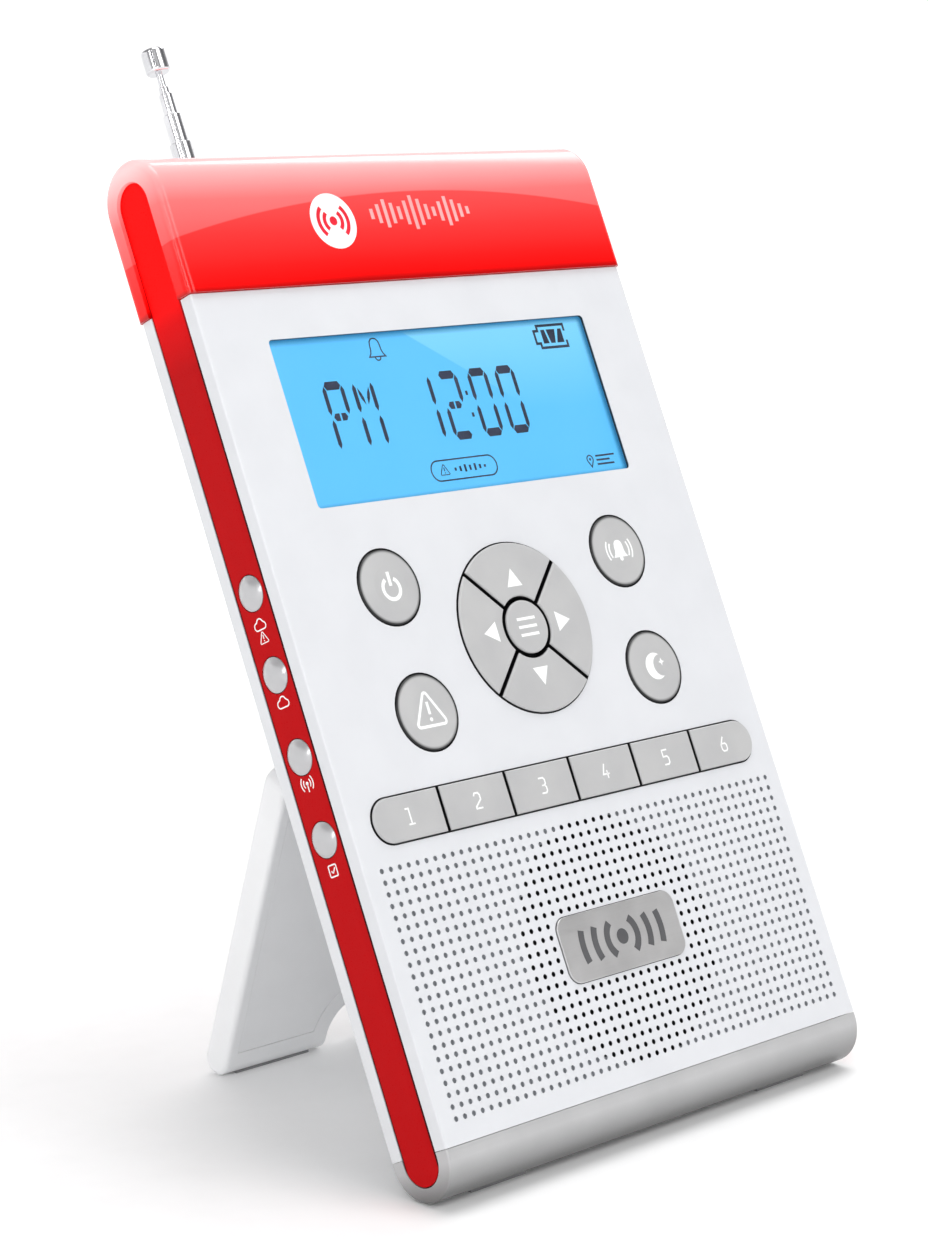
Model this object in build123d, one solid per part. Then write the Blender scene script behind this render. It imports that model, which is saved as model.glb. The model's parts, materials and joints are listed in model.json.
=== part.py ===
"""Emergency weather radio: a slim slab that leans back on a folding stand.

The slab is modelled upright (X across, Y front to back, Z up, front face at
Y = 0, lowest point at Z = 0).  At the end the whole assembly leans back on its
stand and is set on the floor, with the origin at the centre of its footprint.
All sizes are in millimetres and degrees.
"""
from build123d import *
import os
from math import cos, pi, radians, sin

os.makedirs("parts", exist_ok=True)

# ---------------------------------------------------------------- casing
body_width = 130.0
body_depth = 17.4
body_height = 222.9
lean = 24.4                    # backward lean of the slab on its stand
wall = 1.8                     # front and rear walls
side_wall = 2.2
edge_round = 0.5               # edges of the casing's ends
base_rise = 0.9                # silver base cap's edge above its round bottom's centre
base_lip = 2.0                 # lip of the base cap inside the shells
lip_thickness = 1.2
seam = 0.12                    # visible joint between casing parts
parting = 6.0                  # depth of the front shell; the strips hide the joint
corner_inset = 6.0             # clear of the side walls, for tongues and lips

# alert lens, the red cap on top
lens_skirt = 31.8              # how far the lens reaches down from the top
lens_proud = 0.8
lens_side_proud = 0.7
lens_wall = 2.3
lens_round = 1.8
neck_height = 8.0              # tongue of each shell inside the lens
neck_gap = 0.2
neck_wall = 1.3
neck_root = 2.0                # start of the tongue below the lens edge

# red side strips
strip_width = 10.0
strip_margin = 3.4             # from the slab's lowest point to the strip's end
strip_thickness = 2.2
strip_gap = 0.25
strip_flange = 1.2             # overlap behind the side wall
strip_flange_thickness = 0.8

# ---------------------------------------------------------------- front face
window_width = 96.0
window_height = 37.4
window_corner = 1.0
window_drop = 11.3             # from the lens edge to the window
window_recess = 0.75
window_thickness = 1.0
window_overlap = 1.5           # the pane's border behind the front wall
glass_thickness = 1.6
backlight_thickness = 1.4
layer_gap = 0.1

key_gap = 0.35                 # black outline round a key
key_proud = 0.7
key_travel = 0.8
key_flange = 1.0
key_flange_thickness = 0.8
key_round = 0.45
head_clear = 0.2               # front wall to the key flanges
stem_radius = 2.5
menu_key_rise = 0.15           # middle key above its neighbours
dome_flat = 0.2                # crown of a round key above its rim
nav_radius = 19.2
nav_drop = 13.0                # from the window to the navigation ring
nav_slit = 1.0                 # gap between ring segments
menu_radius = 6.0
round_key_radius = 8.3
round_key_x = 35.4
round_key_up = 13.5
round_key_down = 14.0
preset_count = 6
preset_height = 9.5
preset_margin = 6.0            # from the slab's side to the row of presets
preset_drop = 10.5             # from the navigation ring to the presets
preset_slit = 0.9

grille_drop = 4.8              # from the presets to the first row of holes
grille_margin = 4.8            # from the slab's side to the first column
grille_foot = 5.0              # from the base cap to the last row
hole_pitch_x = 2.507
hole_pitch_z = 2.453
hole_diameter = 1.15
blind_depth = 0.7
sound_width = 55.6             # field of holes that go right through
sound_height = 52.8
grille_wall = 0.9              # thinned wall in front of the speaker
badge_width = 36.5
badge_height = 14.4
badge_corner = 3.0
badge_proud = 0.45
badge_seat = 0.5
badge_clearance = 0.15
badge_edge = 0.2
badge_border = 0.9             # plain face round the badge

# ---------------------------------------------------------------- side keys
side_key_diameter = 7.5
side_key_gap = 0.2
side_key_proud = 1.2
side_key_travel = 0.6
side_key_pitch = 17.6
side_key_top = 18.5            # first key above the navigation centre
side_flange_overlap = 1.0
side_flange_thickness = 0.8
switch_height = 2.0
switch_size = 6.0
switch_clearance = 0.4
board_thickness = 1.6
side_board_thickness = 1.2
side_board_half = 5.0
side_board_end = 6.0           # board beyond its last switch
switch_button = 1.6            # radius of a switch's button

# ---------------------------------------------------------------- inside
mat_thickness = 0.9
stem_drop = 0.8                # key stem below its flange
contact_clearance = 0.3
board_margin = 4.0
cloth_thickness = 0.35
speaker_diameter = 57.0
speaker_depth = 9.2
basket_wall = 0.8
cone_diameter = 50.0
basket_side = 1.0              # basket's side round the cone
speaker_clearance = 0.25       # to the base cap, keys and board round the speaker
cone_thickness = 0.5
magnet_diameter = 24.0
magnet_depth = 3.6
cell_diameter = 10.3           # three AAA cells
cell_length = 44.5
cell_count = 3
cell_pitch = 10.9
cell_nub_radius = 1.9
cell_nub = 0.8
bay_x = 8.0
bay_end_room = 2.4             # contact and spring at each end of a cell
bay_wall = 1.2
bay_floor = 0.6
door_thickness = 1.1
door_gap = 0.35
door_latch_depth = 2.4
contact_plate = 0.4
rod_diameter = 8.0             # ferrite aerial
rod_length = 70.0
coil_diameter = 9.4
coil_length = 16.0
screw_radius = 1.5
screw_head_radius = 2.8
screw_head = 1.6
screw_head_sink = 0.3
screw_slot_half = 0.3
screw_slot_depth = 0.9
board_screw_head_radius = 2.4
board_screw_head = 1.3
boss_radius = 3.2
boss_inset = 9.0               # screw line in from the slab's side
boss_rise = 20.0
pilot_clearance = 0.1

# ---------------------------------------------------------------- jacks
earphone_radius = 1.8
earphone_depth = 12.0
earphone_drop = 14.0           # below the navigation centre
power_jack_radius = 2.9
power_pin_radius = 1.0
power_jack_depth = 9.0
power_jack_drop = 32.0
jack_shell = 1.4

# ---------------------------------------------------------------- stand
stand_hinge_height = 121.4
stand_open = 41.8              # angle between the slab and the open stand
stand_width = 84.0
stand_thickness = 7.2
stand_gap = 0.5                # between the folded stand and the slab
shoulder_drop = 34.0           # hinge axis to the top of the wide plate
shoulder_round = 4.0
neck_half_width = 30.0
stand_edge = 1.2
stand_wall = 1.6
stand_cover_thickness = 1.4
stand_cover_border = 3.0
notch_width = 23.0
notch_height = 13.5
notch_round = 9.0
hinge_pin_radius = 1.5
pin_clearance = 0.06
lug_thickness = 5.0
lug_gap = 0.4
pad_proud = 0.4
pad_seat = 1.0
foot_pad_length = 16.0
foot_pad_width = 5.0
foot_pad_x = 45.0
stand_pad_length = 22.0
stand_pad_width = 2.8
stand_pad_x = 26.0

# ---------------------------------------------------------------- aerial
aerial_x = -36.4
aerial_rise = 13.1             # aerial pivot above the stand's hinge
aerial_set_back = 4.1          # tube axis behind the rear face
aerial_clear = 9.3             # first tube's top above the lens
tube_diameters = [4.9, 4.0, 3.05, 2.2]
tube_wall = 0.3
tube_tops = [0.0, 6.7, 11.6, 13.3]   # above the first tube's top
tube_lengths = [0.0, 88.0, 84.0, 80.0]
tube_foot = 3.0                # first tube starts above the pivot
tip_rod_diameter = 1.5
tip_rod_length = 76.0
tip_rise = 16.6                # tip's underside above the first tube's top
tip_diameter = 5.5
tip_height = 5.5
tip_round = 0.7
swivel_radius = 5.6
swivel_thickness = 1.05
swivel_stud_radius = 2.4
swivel_gap = 0.25
fork_gap = 2.6
fork_wall = 1.5
fork_play = 0.05
tilt_pin_radius = 0.9
bracket_size = 13.0
bracket_thickness = 1.2

# ---------------------------------------------------------------- worked out
half_width = body_width / 2
radius = body_depth / 2
mid = body_depth / 2
base_height = radius + base_rise
end_x = half_width - side_wall
lens_edge = body_height - lens_skirt
window_centre = lens_edge - window_drop - window_height / 2
nav_centre = window_centre - window_height / 2 - nav_drop - nav_radius
preset_centre = nav_centre - nav_radius - preset_drop - preset_height / 2
preset_width = body_width - 2 * preset_margin
grille_top = preset_centre - preset_height / 2 - grille_drop
hole_rows = int((grille_top - base_height - grille_foot) / hole_pitch_z) + 1
hole_columns = int((body_width - 2 * grille_margin) / hole_pitch_x) + 1
grille_centre = grille_top - (hole_rows - 1) * hole_pitch_z / 2
strip_low = strip_margin
strip_high = body_height + lens_proud - strip_margin - 1.5
strip_back = half_width - strip_thickness
flange_back = strip_back - strip_flange_thickness
flange_y = wall + head_clear                # front of the key flanges
stem_y = flange_y + key_flange_thickness + stem_drop
mat_y = stem_y + key_travel + contact_clearance
board_y = mat_y + mat_thickness + layer_gap
board_low = preset_centre - preset_height / 2 - board_margin
board_high = nav_centre + nav_radius + board_margin
board_half = preset_width / 2 - board_margin - 5.0
speaker_y = grille_wall + cloth_thickness + layer_gap
rear_inside = body_depth - wall
cell_y = body_depth - door_thickness - 0.25 - cell_diameter / 2
bay_front = cell_y - cell_diameter / 2 - layer_gap
bay_half_x = cell_length / 2 + bay_end_room
bay_half_z = cell_count * cell_pitch / 2
hinge_y = body_depth + stand_gap + stand_thickness / 2
foot_radius = stand_thickness / 2
stand_slope = stand_open - lean
floor_z = radius + pad_proud                # centre of the slab's round bottom above the floor
hinge_height = (floor_z + (stand_hinge_height - radius) * cos(radians(lean))
                - (hinge_y - mid) * sin(radians(lean)))
stand_reach = (hinge_height - foot_radius - pad_proud) / cos(radians(stand_slope))
aerial_z = stand_hinge_height + aerial_rise
aerial_y = body_depth + aerial_set_back
aerial_top = body_height + lens_proud + aerial_clear


# ---------------------------------------------------------------- outlines
def rod_x(x0, x1, y, z, r):
    """Round bar along X."""
    return extrude(Plane.YZ.offset(x0) * Pos(y, z) * Circle(r), x1 - x0)


def rod_y(x, z, y0, y1, r):
    """Round bar along Y."""
    return extrude(Plane.XZ.offset(-y0) * Pos(x, z) * Circle(r), y0 - y1)


def rod_z(x, y, z0, z1, r):
    """Round bar along Z."""
    return extrude(Plane.XY.offset(z0) * Pos(x, y) * Circle(r), z1 - z0)


def block(x0, x1, y0, y1, z0, z1):
    """Box between two corners."""
    return Pos((x0 + x1) / 2, (y0 + y1) / 2, (z0 + z1) / 2) * Box(x1 - x0, y1 - y0, z1 - z0)


def side_bar(outline, x0, x1):
    """Side-view outline (Y, Z) extruded across the slab."""
    return extrude(Plane.YZ.offset(x0) * outline, x1 - x0)


def face_bar(outline, y0, y1):
    """Front-view outline (X, Z) extruded from depth y0 to depth y1."""
    return extrude(Plane.XZ.offset(-y0) * outline, y0 - y1)


def stadium(low, high, r):
    """Side-view stadium about the slab's middle plane."""
    return Pos(mid, (low + high) / 2) * SlotOverall(high - low, 2 * r, rotation=90)


def slab(r, half_x, low, high):
    """Bar of stadium section right across the slab."""
    return side_bar(stadium(low, high, r), -half_x, half_x)


def band(low, high):
    """Everything between two heights."""
    reach = 2 * (body_width + body_depth)
    return block(-reach, reach, -reach, reach, low, high)


def front_half():
    """Everything in front of the parting plane."""
    reach = body_width + body_height
    return block(-reach, reach, -reach, parting - seam / 2, -reach, 2 * reach)


def rear_half():
    """Everything behind the parting plane."""
    reach = body_width + body_height
    return block(-reach, reach, parting + seam / 2, reach, -reach, 2 * reach)


def end_edges(shape, half_x):
    """Edges that outline the two flat ends of a bar across the slab."""
    ends = shape.faces().filter_by(Axis.X).filter_by(lambda f: abs(abs(f.center().X) - half_x) < 0.01)
    return [edge for face in ends for edge in face.outer_wire().edges()]


# ---------------------------------------------------------------- casing
def strip_slots(clearance):
    """Openings in both side walls for the red strips."""
    outline = stadium(strip_low - clearance, strip_high + clearance, strip_width / 2 + clearance)
    reach = half_width + lens_side_proud + 1
    return side_bar(outline, -reach, -end_x + 1) + side_bar(outline, end_x - 1, reach)


def hollow_slab():
    """The whole slab as a hollow bar with rounded end edges."""
    outer = slab(radius, half_width, 0, body_height)
    outer = fillet(end_edges(outer, half_width), edge_round)
    return outer - slab(radius - wall, end_x, wall, body_height - wall)


def neck(y0, y1):
    """Tongue that carries the alert lens."""
    half = end_x - corner_inset
    return block(-half, half, y0, y1, lens_edge - neck_root, lens_edge + neck_height)


def rounded(width, height, corner):
    """Front-view rounded rectangle."""
    return RectangleRounded(width, height, corner)


def window_cuts():
    """Opening for the display and the seat of its pane behind the wall."""
    place = Pos(0, window_centre)
    opening = face_bar(place * rounded(window_width, window_height, window_corner), -1, wall + 1)
    border = 2 * window_overlap + 2 * layer_gap
    seat = rounded(window_width + border, window_height + border, window_corner + window_overlap)
    return opening + face_bar(place * seat, window_recess, wall + 1)


def round_key_places():
    """Centres of the four round keys, by name."""
    high = nav_centre + round_key_up
    low = nav_centre - round_key_down
    return {
        "power_key": (-round_key_x, high),
        "siren_key": (round_key_x, high),
        "alert_key": (-round_key_x, low),
        "snooze_key": (round_key_x, low),
    }


def preset_outline(grow):
    """Long stadium that holds the row of presets."""
    return Pos(0, preset_centre) * SlotOverall(preset_width + 2 * grow, preset_height + 2 * grow)


def key_openings():
    """All key openings in the front wall."""
    cut = rod_y(0, nav_centre, -1, wall + 1, nav_radius + key_gap)
    for x, z in round_key_places().values():
        cut += rod_y(x, z, -1, wall + 1, round_key_radius + key_gap)
    return cut + face_bar(preset_outline(key_gap), -1, wall + 1)


def hole_places():
    """Grille hole centres: those that go through and those that stay blind."""
    through = []
    blind = []
    for row in range(hole_rows):
        dz = (row - (hole_rows - 1) / 2) * hole_pitch_z
        for column in range(hole_columns):
            dx = (column - (hole_columns - 1) / 2) * hole_pitch_x
            beside = abs(dx) > badge_width / 2 + badge_border
            above = abs(dz) > badge_height / 2 + badge_border
            if not (beside or above):
                continue
            sounding = (2 * dx / sound_width) ** 2 + (2 * dz / sound_height) ** 2 <= 1
            (through if sounding else blind).append((dx, grille_centre + dz))
    return through, blind


def hole_cuts(places, depth):
    """Round holes from the front face to a depth."""
    outline = Sketch() + [Pos(x, z) * Circle(hole_diameter / 2) for x, z in places]
    return face_bar(outline, -0.5, depth).solids()


def badge_outline(grow):
    """Front-view outline of the badge."""
    size = rounded(badge_width + 2 * grow, badge_height + 2 * grow, badge_corner + grow)
    return Pos(0, grille_centre) * size


def screw_places():
    """Housing screw positions in the front view."""
    x = half_width - boss_inset
    return [(side * x, z) for side in (-1, 1) for z in (boss_rise, lens_edge - boss_inset)]


def front_shell():
    """Front casing half with window, key openings, grille and screw bosses."""
    shell = hollow_slab() & front_half() & band(base_height + seam, lens_edge - seam)
    shell += neck(lens_wall - lens_proud + neck_gap, lens_wall - lens_proud + neck_gap + neck_wall)
    for x, z in screw_places():
        shell += rod_y(x, z, wall - 0.2, parting - seam, boss_radius)
        shell -= rod_y(x, z, wall + 0.6, parting, screw_radius)
    shell -= strip_slots(strip_gap)
    shell -= window_cuts()
    shell -= key_openings()
    shell -= face_bar(badge_outline(badge_clearance), -1, badge_seat)
    shell -= rod_y(0, grille_centre, grille_wall, wall + 1, speaker_diameter / 2 + layer_gap)
    through, blind = hole_places()
    return shell - (hole_cuts(through, wall + 0.5) + hole_cuts(blind, blind_depth))


def hinge_lug(side):
    """One ear of the rear shell that carries the stand's pin."""
    x0 = side * (neck_half_width + lug_gap)
    x1 = side * (neck_half_width + lug_gap + lug_thickness)
    low_x, high_x = min(x0, x1), max(x0, x1)
    ear = rod_x(low_x, high_x, hinge_y, stand_hinge_height, foot_radius)
    ear += block(low_x, high_x, body_depth - 0.5, hinge_y,
                 stand_hinge_height - foot_radius, stand_hinge_height + foot_radius)
    return ear


def bay_box(grow, y0, y1):
    """Box of the battery bay, grown on its four sides."""
    return block(bay_x - bay_half_x - grow, bay_x + bay_half_x + grow, y0, y1,
                 window_centre - bay_half_z - grow, window_centre + bay_half_z + grow)


def rear_shell():
    """Rear casing half with battery bay, stand ears and screw holes."""
    shell = hollow_slab() & rear_half() & band(base_height + seam, lens_edge - seam)
    y1 = body_depth - (lens_wall - lens_proud + neck_gap)
    shell += neck(y1 - neck_wall, y1)
    shell += bay_box(bay_wall, bay_front - bay_floor, body_depth - wall + 0.2)
    shell -= bay_box(0, bay_front, body_depth + 1)
    shell -= bay_box(0, body_depth - door_thickness - 0.15, body_depth + 1)
    for side in (-1, 1):
        shell += hinge_lug(side)
    pin_reach = neck_half_width + lug_gap + lug_thickness + 1
    shell -= rod_x(-pin_reach, pin_reach, hinge_y, stand_hinge_height, hinge_pin_radius)
    for x, z in screw_places():
        shell += rod_y(x, z, parting + seam, rear_inside + 0.2, boss_radius)
        shell -= rod_y(x, z, 0, body_depth + 1, screw_radius + pilot_clearance)
        shell -= rod_y(x, z, body_depth - screw_head - screw_head_sink, body_depth + 1,
                       screw_head_radius + 0.2)
    shell -= rod_y(aerial_x, aerial_z, mid, body_depth + 1, swivel_stud_radius + pin_clearance)
    return shell - strip_slots(strip_gap)


def floor_pad(y, z, arc, proud, seat, x, length, width):
    """Flat rubber pad under a round edge, square to the floor when leaning."""
    pad = Pos(0, 0, -(arc + proud) + (proud + seat) / 2) * Box(length, width, proud + seat)
    return Pos(x, y, z) * Rot(lean, 0, 0) * pad


def foot_pads():
    """Two rubber pads under the base cap."""
    return [floor_pad(mid, radius, radius, pad_proud, pad_seat, side * foot_pad_x,
                      foot_pad_length, foot_pad_width) for side in (-1, 1)]


def base_cap():
    """Half-round silver cap along the bottom edge."""
    cap = hollow_slab() & band(-1, base_height)
    lip_half = end_x - corner_inset
    for out, back in ((wall, wall + lip_thickness), (body_depth - wall, body_depth - wall - lip_thickness)):
        step = layer_gap if back > out else -layer_gap
        root_low, root_high = sorted((out - 2 * step, back))
        tip_low, tip_high = sorted((out + step, back))
        cap += block(-lip_half, lip_half, root_low, root_high, radius - 1.0, base_height - 0.6)
        cap += block(-lip_half, lip_half, tip_low, tip_high, radius, base_height + base_lip)
    cap -= strip_slots(strip_gap)
    for pad in foot_pads():
        cap -= pad
    return cap - speaker_room()


def alert_lens():
    """Translucent red cap that lights up in an alert."""
    half = half_width + lens_side_proud
    outer = slab(radius + lens_proud, half, 0, body_height + lens_proud)
    outer &= band(lens_edge, body_height + lens_proud + 1)
    outline = [edge for edge in end_edges(outer, half) if edge.center().Z > lens_edge + 0.1]
    outer = fillet(outline, lens_round)
    inner = slab(radius + lens_proud - lens_wall, half - lens_wall, -lens_wall,
                 body_height + lens_proud - lens_wall)
    return outer - inner - strip_slots(strip_gap)


def side_strip(side):
    """Red strip let into one side of the casing, with its hidden flange."""
    outline = stadium(strip_low, strip_high, strip_width / 2)
    strip = side_bar(outline, strip_back, half_width)
    grow = strip_flange
    flange = stadium(strip_low - grow, strip_high + grow, strip_width / 2 + grow)
    strip += side_bar(flange, flange_back, strip_back)
    for z in side_key_heights(side):
        strip -= rod_x(flange_back - 1, half_width + 1, mid, z, side_key_diameter / 2 + side_key_gap)
    if side > 0:
        strip -= rod_x(flange_back - 1, half_width + 1, mid, nav_centre - earphone_drop,
                       earphone_radius + jack_shell)
        strip -= rod_x(flange_back - 1, half_width + 1, mid, nav_centre - power_jack_drop,
                       power_jack_radius + jack_shell)
    return strip if side > 0 else mirror(strip, Plane.YZ)


# ---------------------------------------------------------------- display
def display_layers():
    """Clear pane, display glass and backlight, front to back."""
    border = 2 * window_overlap
    size = rounded(window_width + border, window_height + border, window_corner + window_overlap)
    layers = {}
    y = window_recess
    for name, thickness in (("display_window", window_thickness), ("display_glass", glass_thickness),
                            ("display_backlight", backlight_thickness)):
        layers[name] = face_bar(Pos(0, window_centre) * size, y, y + thickness)
        y += thickness + layer_gap
    return layers


# ---------------------------------------------------------------- front keys
def softened(head):
    """Round the front edges of a key head."""
    return fillet(head.faces().sort_by(Axis.Y)[0].edges(), key_round)


def full_circles(shape, r):
    """Complete circular edges of one radius."""
    return shape.edges().filter_by(lambda e: abs(e.length - 2 * pi * r) < 0.01)


def with_foot(head, flange, stem):
    """Join a key head to its flange and its stem."""
    return head + face_bar(flange, flange_y, flange_y + key_flange_thickness) + \
        face_bar(stem, flange_y, stem_y)


def round_key(x, z):
    """Round push key with a gently domed head."""
    head = rod_y(x, z, -key_proud, flange_y + 0.1, round_key_radius)
    dome = (round_key_radius ** 2 + key_proud ** 2) / (2 * key_proud)
    head &= Pos(x, dome - key_proud - dome_flat, z) * Rot(90, 0, 0) * Sphere(dome)
    head = fillet(full_circles(head, round_key_radius).sort_by(Axis.Y)[0], key_round)
    place = Pos(x, z)
    return with_foot(head, place * Circle(round_key_radius + key_flange), place * Circle(stem_radius))


def nav_sector(inner, outer, slit):
    """Quarter of a ring, about +Z, with half a slit off each side."""
    ring = Circle(outer) - Circle(inner)
    shift = slit / 2 * 2 ** 0.5
    wedge = Polygon((0, shift), (2 * outer, 2 * outer + shift), (-2 * outer, 2 * outer + shift),
                    align=None)
    return ring & wedge


def nav_key(turn):
    """One of the four arrow keys of the navigation ring."""
    place = Pos(0, nav_centre) * Rot(0, 0, turn)
    inner = menu_radius + nav_slit
    head = face_bar(place * nav_sector(inner, nav_radius, nav_slit), -key_proud, flange_y + 0.1)
    flange = place * nav_sector(inner, nav_radius + key_flange + 0.3, nav_slit)
    stem = place * Pos(0, (inner + nav_radius) / 2) * Circle(stem_radius)
    return with_foot(softened(head), flange, stem)


def menu_key():
    """Round key in the middle of the navigation ring."""
    head = rod_y(0, nav_centre, -key_proud - menu_key_rise, flange_y + key_flange_thickness, menu_radius)
    return softened(head) + rod_y(0, nav_centre, flange_y, stem_y, stem_radius)


def preset_key(index):
    """One key of the preset row; the two end keys have round ends."""
    pitch = preset_width / preset_count
    x = (index - (preset_count - 1) / 2) * pitch
    window = Pos(x, preset_centre) * Rectangle(pitch - preset_slit, 3 * preset_height)
    if index == 0:
        window += Pos(x - pitch / 2, preset_centre) * Rectangle(pitch, 3 * preset_height)
    if index == preset_count - 1:
        window += Pos(x + pitch / 2, preset_centre) * Rectangle(pitch, 3 * preset_height)
    head = face_bar(preset_outline(0) & window, -key_proud, flange_y + 0.1)
    stem = Pos(x, preset_centre) * Circle(stem_radius)
    return with_foot(softened(head), preset_outline(key_flange) & window, stem) - speaker_room()


# ---------------------------------------------------------------- side keys
def side_key_heights(side):
    """Heights of the keys on one side: four on the left, two volume keys on the right."""
    count = 4 if side < 0 else 2
    return [nav_centre + side_key_top - i * side_key_pitch for i in range(count)]


def side_key(side, z):
    """Domed push key in a side strip."""
    r = side_key_diameter / 2
    tip = half_width + side_key_proud
    flange_out = flange_back - contact_clearance
    flange_in = flange_out - side_flange_thickness
    dome = (r ** 2 + side_key_proud ** 2) / (2 * side_key_proud)
    head = rod_x(flange_in, tip, mid, z, r) & (Pos(tip - dome, mid, z) * Rot(0, 90, 0) * Sphere(dome))
    key = head + rod_x(flange_in, flange_out, mid, z, r + side_flange_overlap)
    return key if side > 0 else mirror(key, Plane.YZ)


def side_board(side):
    """Small board with one switch behind each side key."""
    heights = side_key_heights(side)
    flange_in = flange_back - contact_clearance - side_flange_thickness
    top = flange_in - side_key_travel - switch_clearance
    back = top - switch_height
    low, high = min(heights) - side_board_end, max(heights) + side_board_end
    board = block(back - side_board_thickness, back, mid - side_board_half, mid + side_board_half, low, high)
    for z in heights:
        half = switch_size / 2
        board += block(back, top - 0.6, mid - half, mid + half, z - half, z + half)
        board += rod_x(back, top, mid, z, switch_button)
    return board if side > 0 else mirror(board, Plane.YZ)


# ---------------------------------------------------------------- inside
def key_mat():
    """Silicone mat with a dome under every front key."""
    outline = Pos(0, preset_centre) * Rectangle(2 * board_half, preset_height)
    outline += Pos(0, nav_centre) * Rectangle(2 * (round_key_x + round_key_radius), 2 * nav_radius)
    outline += Pos(0, (preset_centre + nav_centre) / 2) * Rectangle(30.0, nav_centre - preset_centre)
    return face_bar(outline, mat_y, mat_y + mat_thickness)


def board_screw_places():
    """Screws that hold the main board."""
    x = board_half - 4.0
    return [(side * x, z) for side in (-1, 1) for z in (board_low + 16.0, board_high - 3.5)]


def main_board():
    """Main circuit board with its larger parts."""
    board = block(-board_half, board_half, board_y, board_y + board_thickness, board_low, board_high)
    top = board_y + board_thickness
    board += block(-20, -8, top, top + 1.4, nav_centre - 6, nav_centre + 6)
    board += block(6, 14, top, top + 1.1, nav_centre - 14, nav_centre - 2)
    for x in (-34.0, -26.0):
        board += rod_y(x, preset_centre + 2, top, top + 5.0, 3.0)
    for x, z in board_screw_places():
        board -= rod_y(x, z, 0, body_depth, screw_radius + pilot_clearance)
    return board - speaker_room()


def tuner_shield():
    """Tinned steel can over the tuner."""
    top = board_y + board_thickness
    return block(18, 40, top, top + 3.2, nav_centre - 10, nav_centre + 12)


def screw(x, z, y_tip, y_head, head_radius, head_height):
    """Pan-head screw that points forwards, with a cross slot."""
    body = rod_y(x, z, y_tip, y_head, screw_radius)
    head = rod_y(x, z, y_head - head_height, y_head, head_radius)
    head = fillet(head.edges().sort_by(Axis.Y)[-1], 0.5)
    low = y_head - screw_slot_depth
    t = screw_slot_half
    reach = screw_radius
    slot = block(x - reach, x + reach, low, y_head + 1, z - t, z + t)
    slot += block(x - t, x + t, low, y_head + 1, z - reach, z + reach)
    return body + head - slot


def housing_screws():
    """Screws that close the casing from behind."""
    head_y = body_depth - screw_head_sink
    return [screw(x, z, wall + 1.0, head_y, screw_head_radius, screw_head) for x, z in screw_places()]


def board_screws():
    """Screws that hold the main board."""
    head_y = board_y + board_thickness + board_screw_head
    return [screw(x, z, board_y - 1.2, head_y, board_screw_head_radius, board_screw_head)
            for x, z in board_screw_places()]


def speaker_room():
    """Room kept clear for the speaker's rim and basket."""
    gap = speaker_clearance
    room = rod_y(0, grille_centre, grille_wall, speaker_y + basket_wall + gap, speaker_diameter / 2 + gap)
    return room + rod_y(0, grille_centre, grille_wall, speaker_y + speaker_depth + gap,
                        cone_diameter / 2 + basket_side + gap)


def speaker_frame():
    """Pressed steel basket with a flat rim."""
    y0 = speaker_y
    r = speaker_diameter / 2
    rim = rod_y(0, grille_centre, y0, y0 + basket_wall, r)
    cup = rod_y(0, grille_centre, y0, y0 + speaker_depth, cone_diameter / 2 + basket_side)
    cavity = rod_y(0, grille_centre, y0 - 1, y0 + speaker_depth - basket_wall, cone_diameter / 2 + 0.2)
    return rim + cup - cavity


def speaker_cone():
    """Paper cone with a dust cap, drawn as a thin turned shell."""
    y0 = speaker_y + basket_wall
    rim = cone_diameter / 2
    neck_r = 6.0
    depth = 5.0
    t = cone_thickness
    outline = Polyline((neck_r, depth), (rim - 3, 0), (rim, 0), (rim, t), (rim - 3 + t, t),
                       (neck_r + t, depth + t), (0, depth + t), (0, depth), close=True)
    return revolve_about_y(make_face(outline), y0, grille_centre)


def revolve_about_y(outline, y0, z):
    """Turn a (radius, depth) outline about an axis along Y."""
    turned = revolve(outline, Axis.Y)
    return Pos(0, y0, z) * turned


def speaker_magnet():
    """Magnet and back plate."""
    y0 = speaker_y + speaker_depth
    return rod_y(0, grille_centre, y0, y0 + magnet_depth, magnet_diameter / 2)


def grille_cloth():
    """Black dust cloth behind the open holes."""
    return rod_y(0, grille_centre, grille_wall, grille_wall + cloth_thickness, speaker_diameter / 2)


def badge():
    """Brushed metal plate in the middle of the grille."""
    plate = face_bar(badge_outline(0), -badge_proud, badge_seat)
    return fillet(plate.faces().sort_by(Axis.Y)[0].edges(), badge_edge)


def cell_heights():
    """Heights of the battery cells."""
    return [window_centre + (i - (cell_count - 1) / 2) * cell_pitch for i in range(cell_count)]


def battery_cells():
    """AAA cells, alternating head to tail."""
    cells = []
    half = cell_length / 2
    for i, z in enumerate(cell_heights()):
        way = 1 if i % 2 == 0 else -1
        can = rod_x(bay_x - half, bay_x + half - cell_nub, cell_y, z, cell_diameter / 2)
        can += rod_x(bay_x + half - cell_nub, bay_x + half, cell_y, z, cell_nub_radius)
        cells.append(can if way > 0 else mirror(can, Plane.YZ.offset(bay_x)))
    return cells


def battery_contacts():
    """Nickel contact plates and conical springs at the ends of the cells."""
    contacts = []
    for i, z in enumerate(cell_heights()):
        for side in (-1, 1):
            wall_x = bay_x + side * bay_half_x
            inner_x = wall_x - side * contact_plate
            low, high = min(wall_x, inner_x), max(wall_x, inner_x)
            plate = block(low, high, cell_y - 4, cell_y + 3, z - 4, z + 4)
            spring_end = (i % 2 == 0) == (side < 0)
            reach = bay_x + side * cell_length / 2
            tip_low, tip_high = min(inner_x, reach), max(inner_x, reach)
            plate += rod_x(tip_low, tip_high, cell_y, z, 3.0 if spring_end else 1.6)
            contacts.append(plate)
    return contacts


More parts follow.
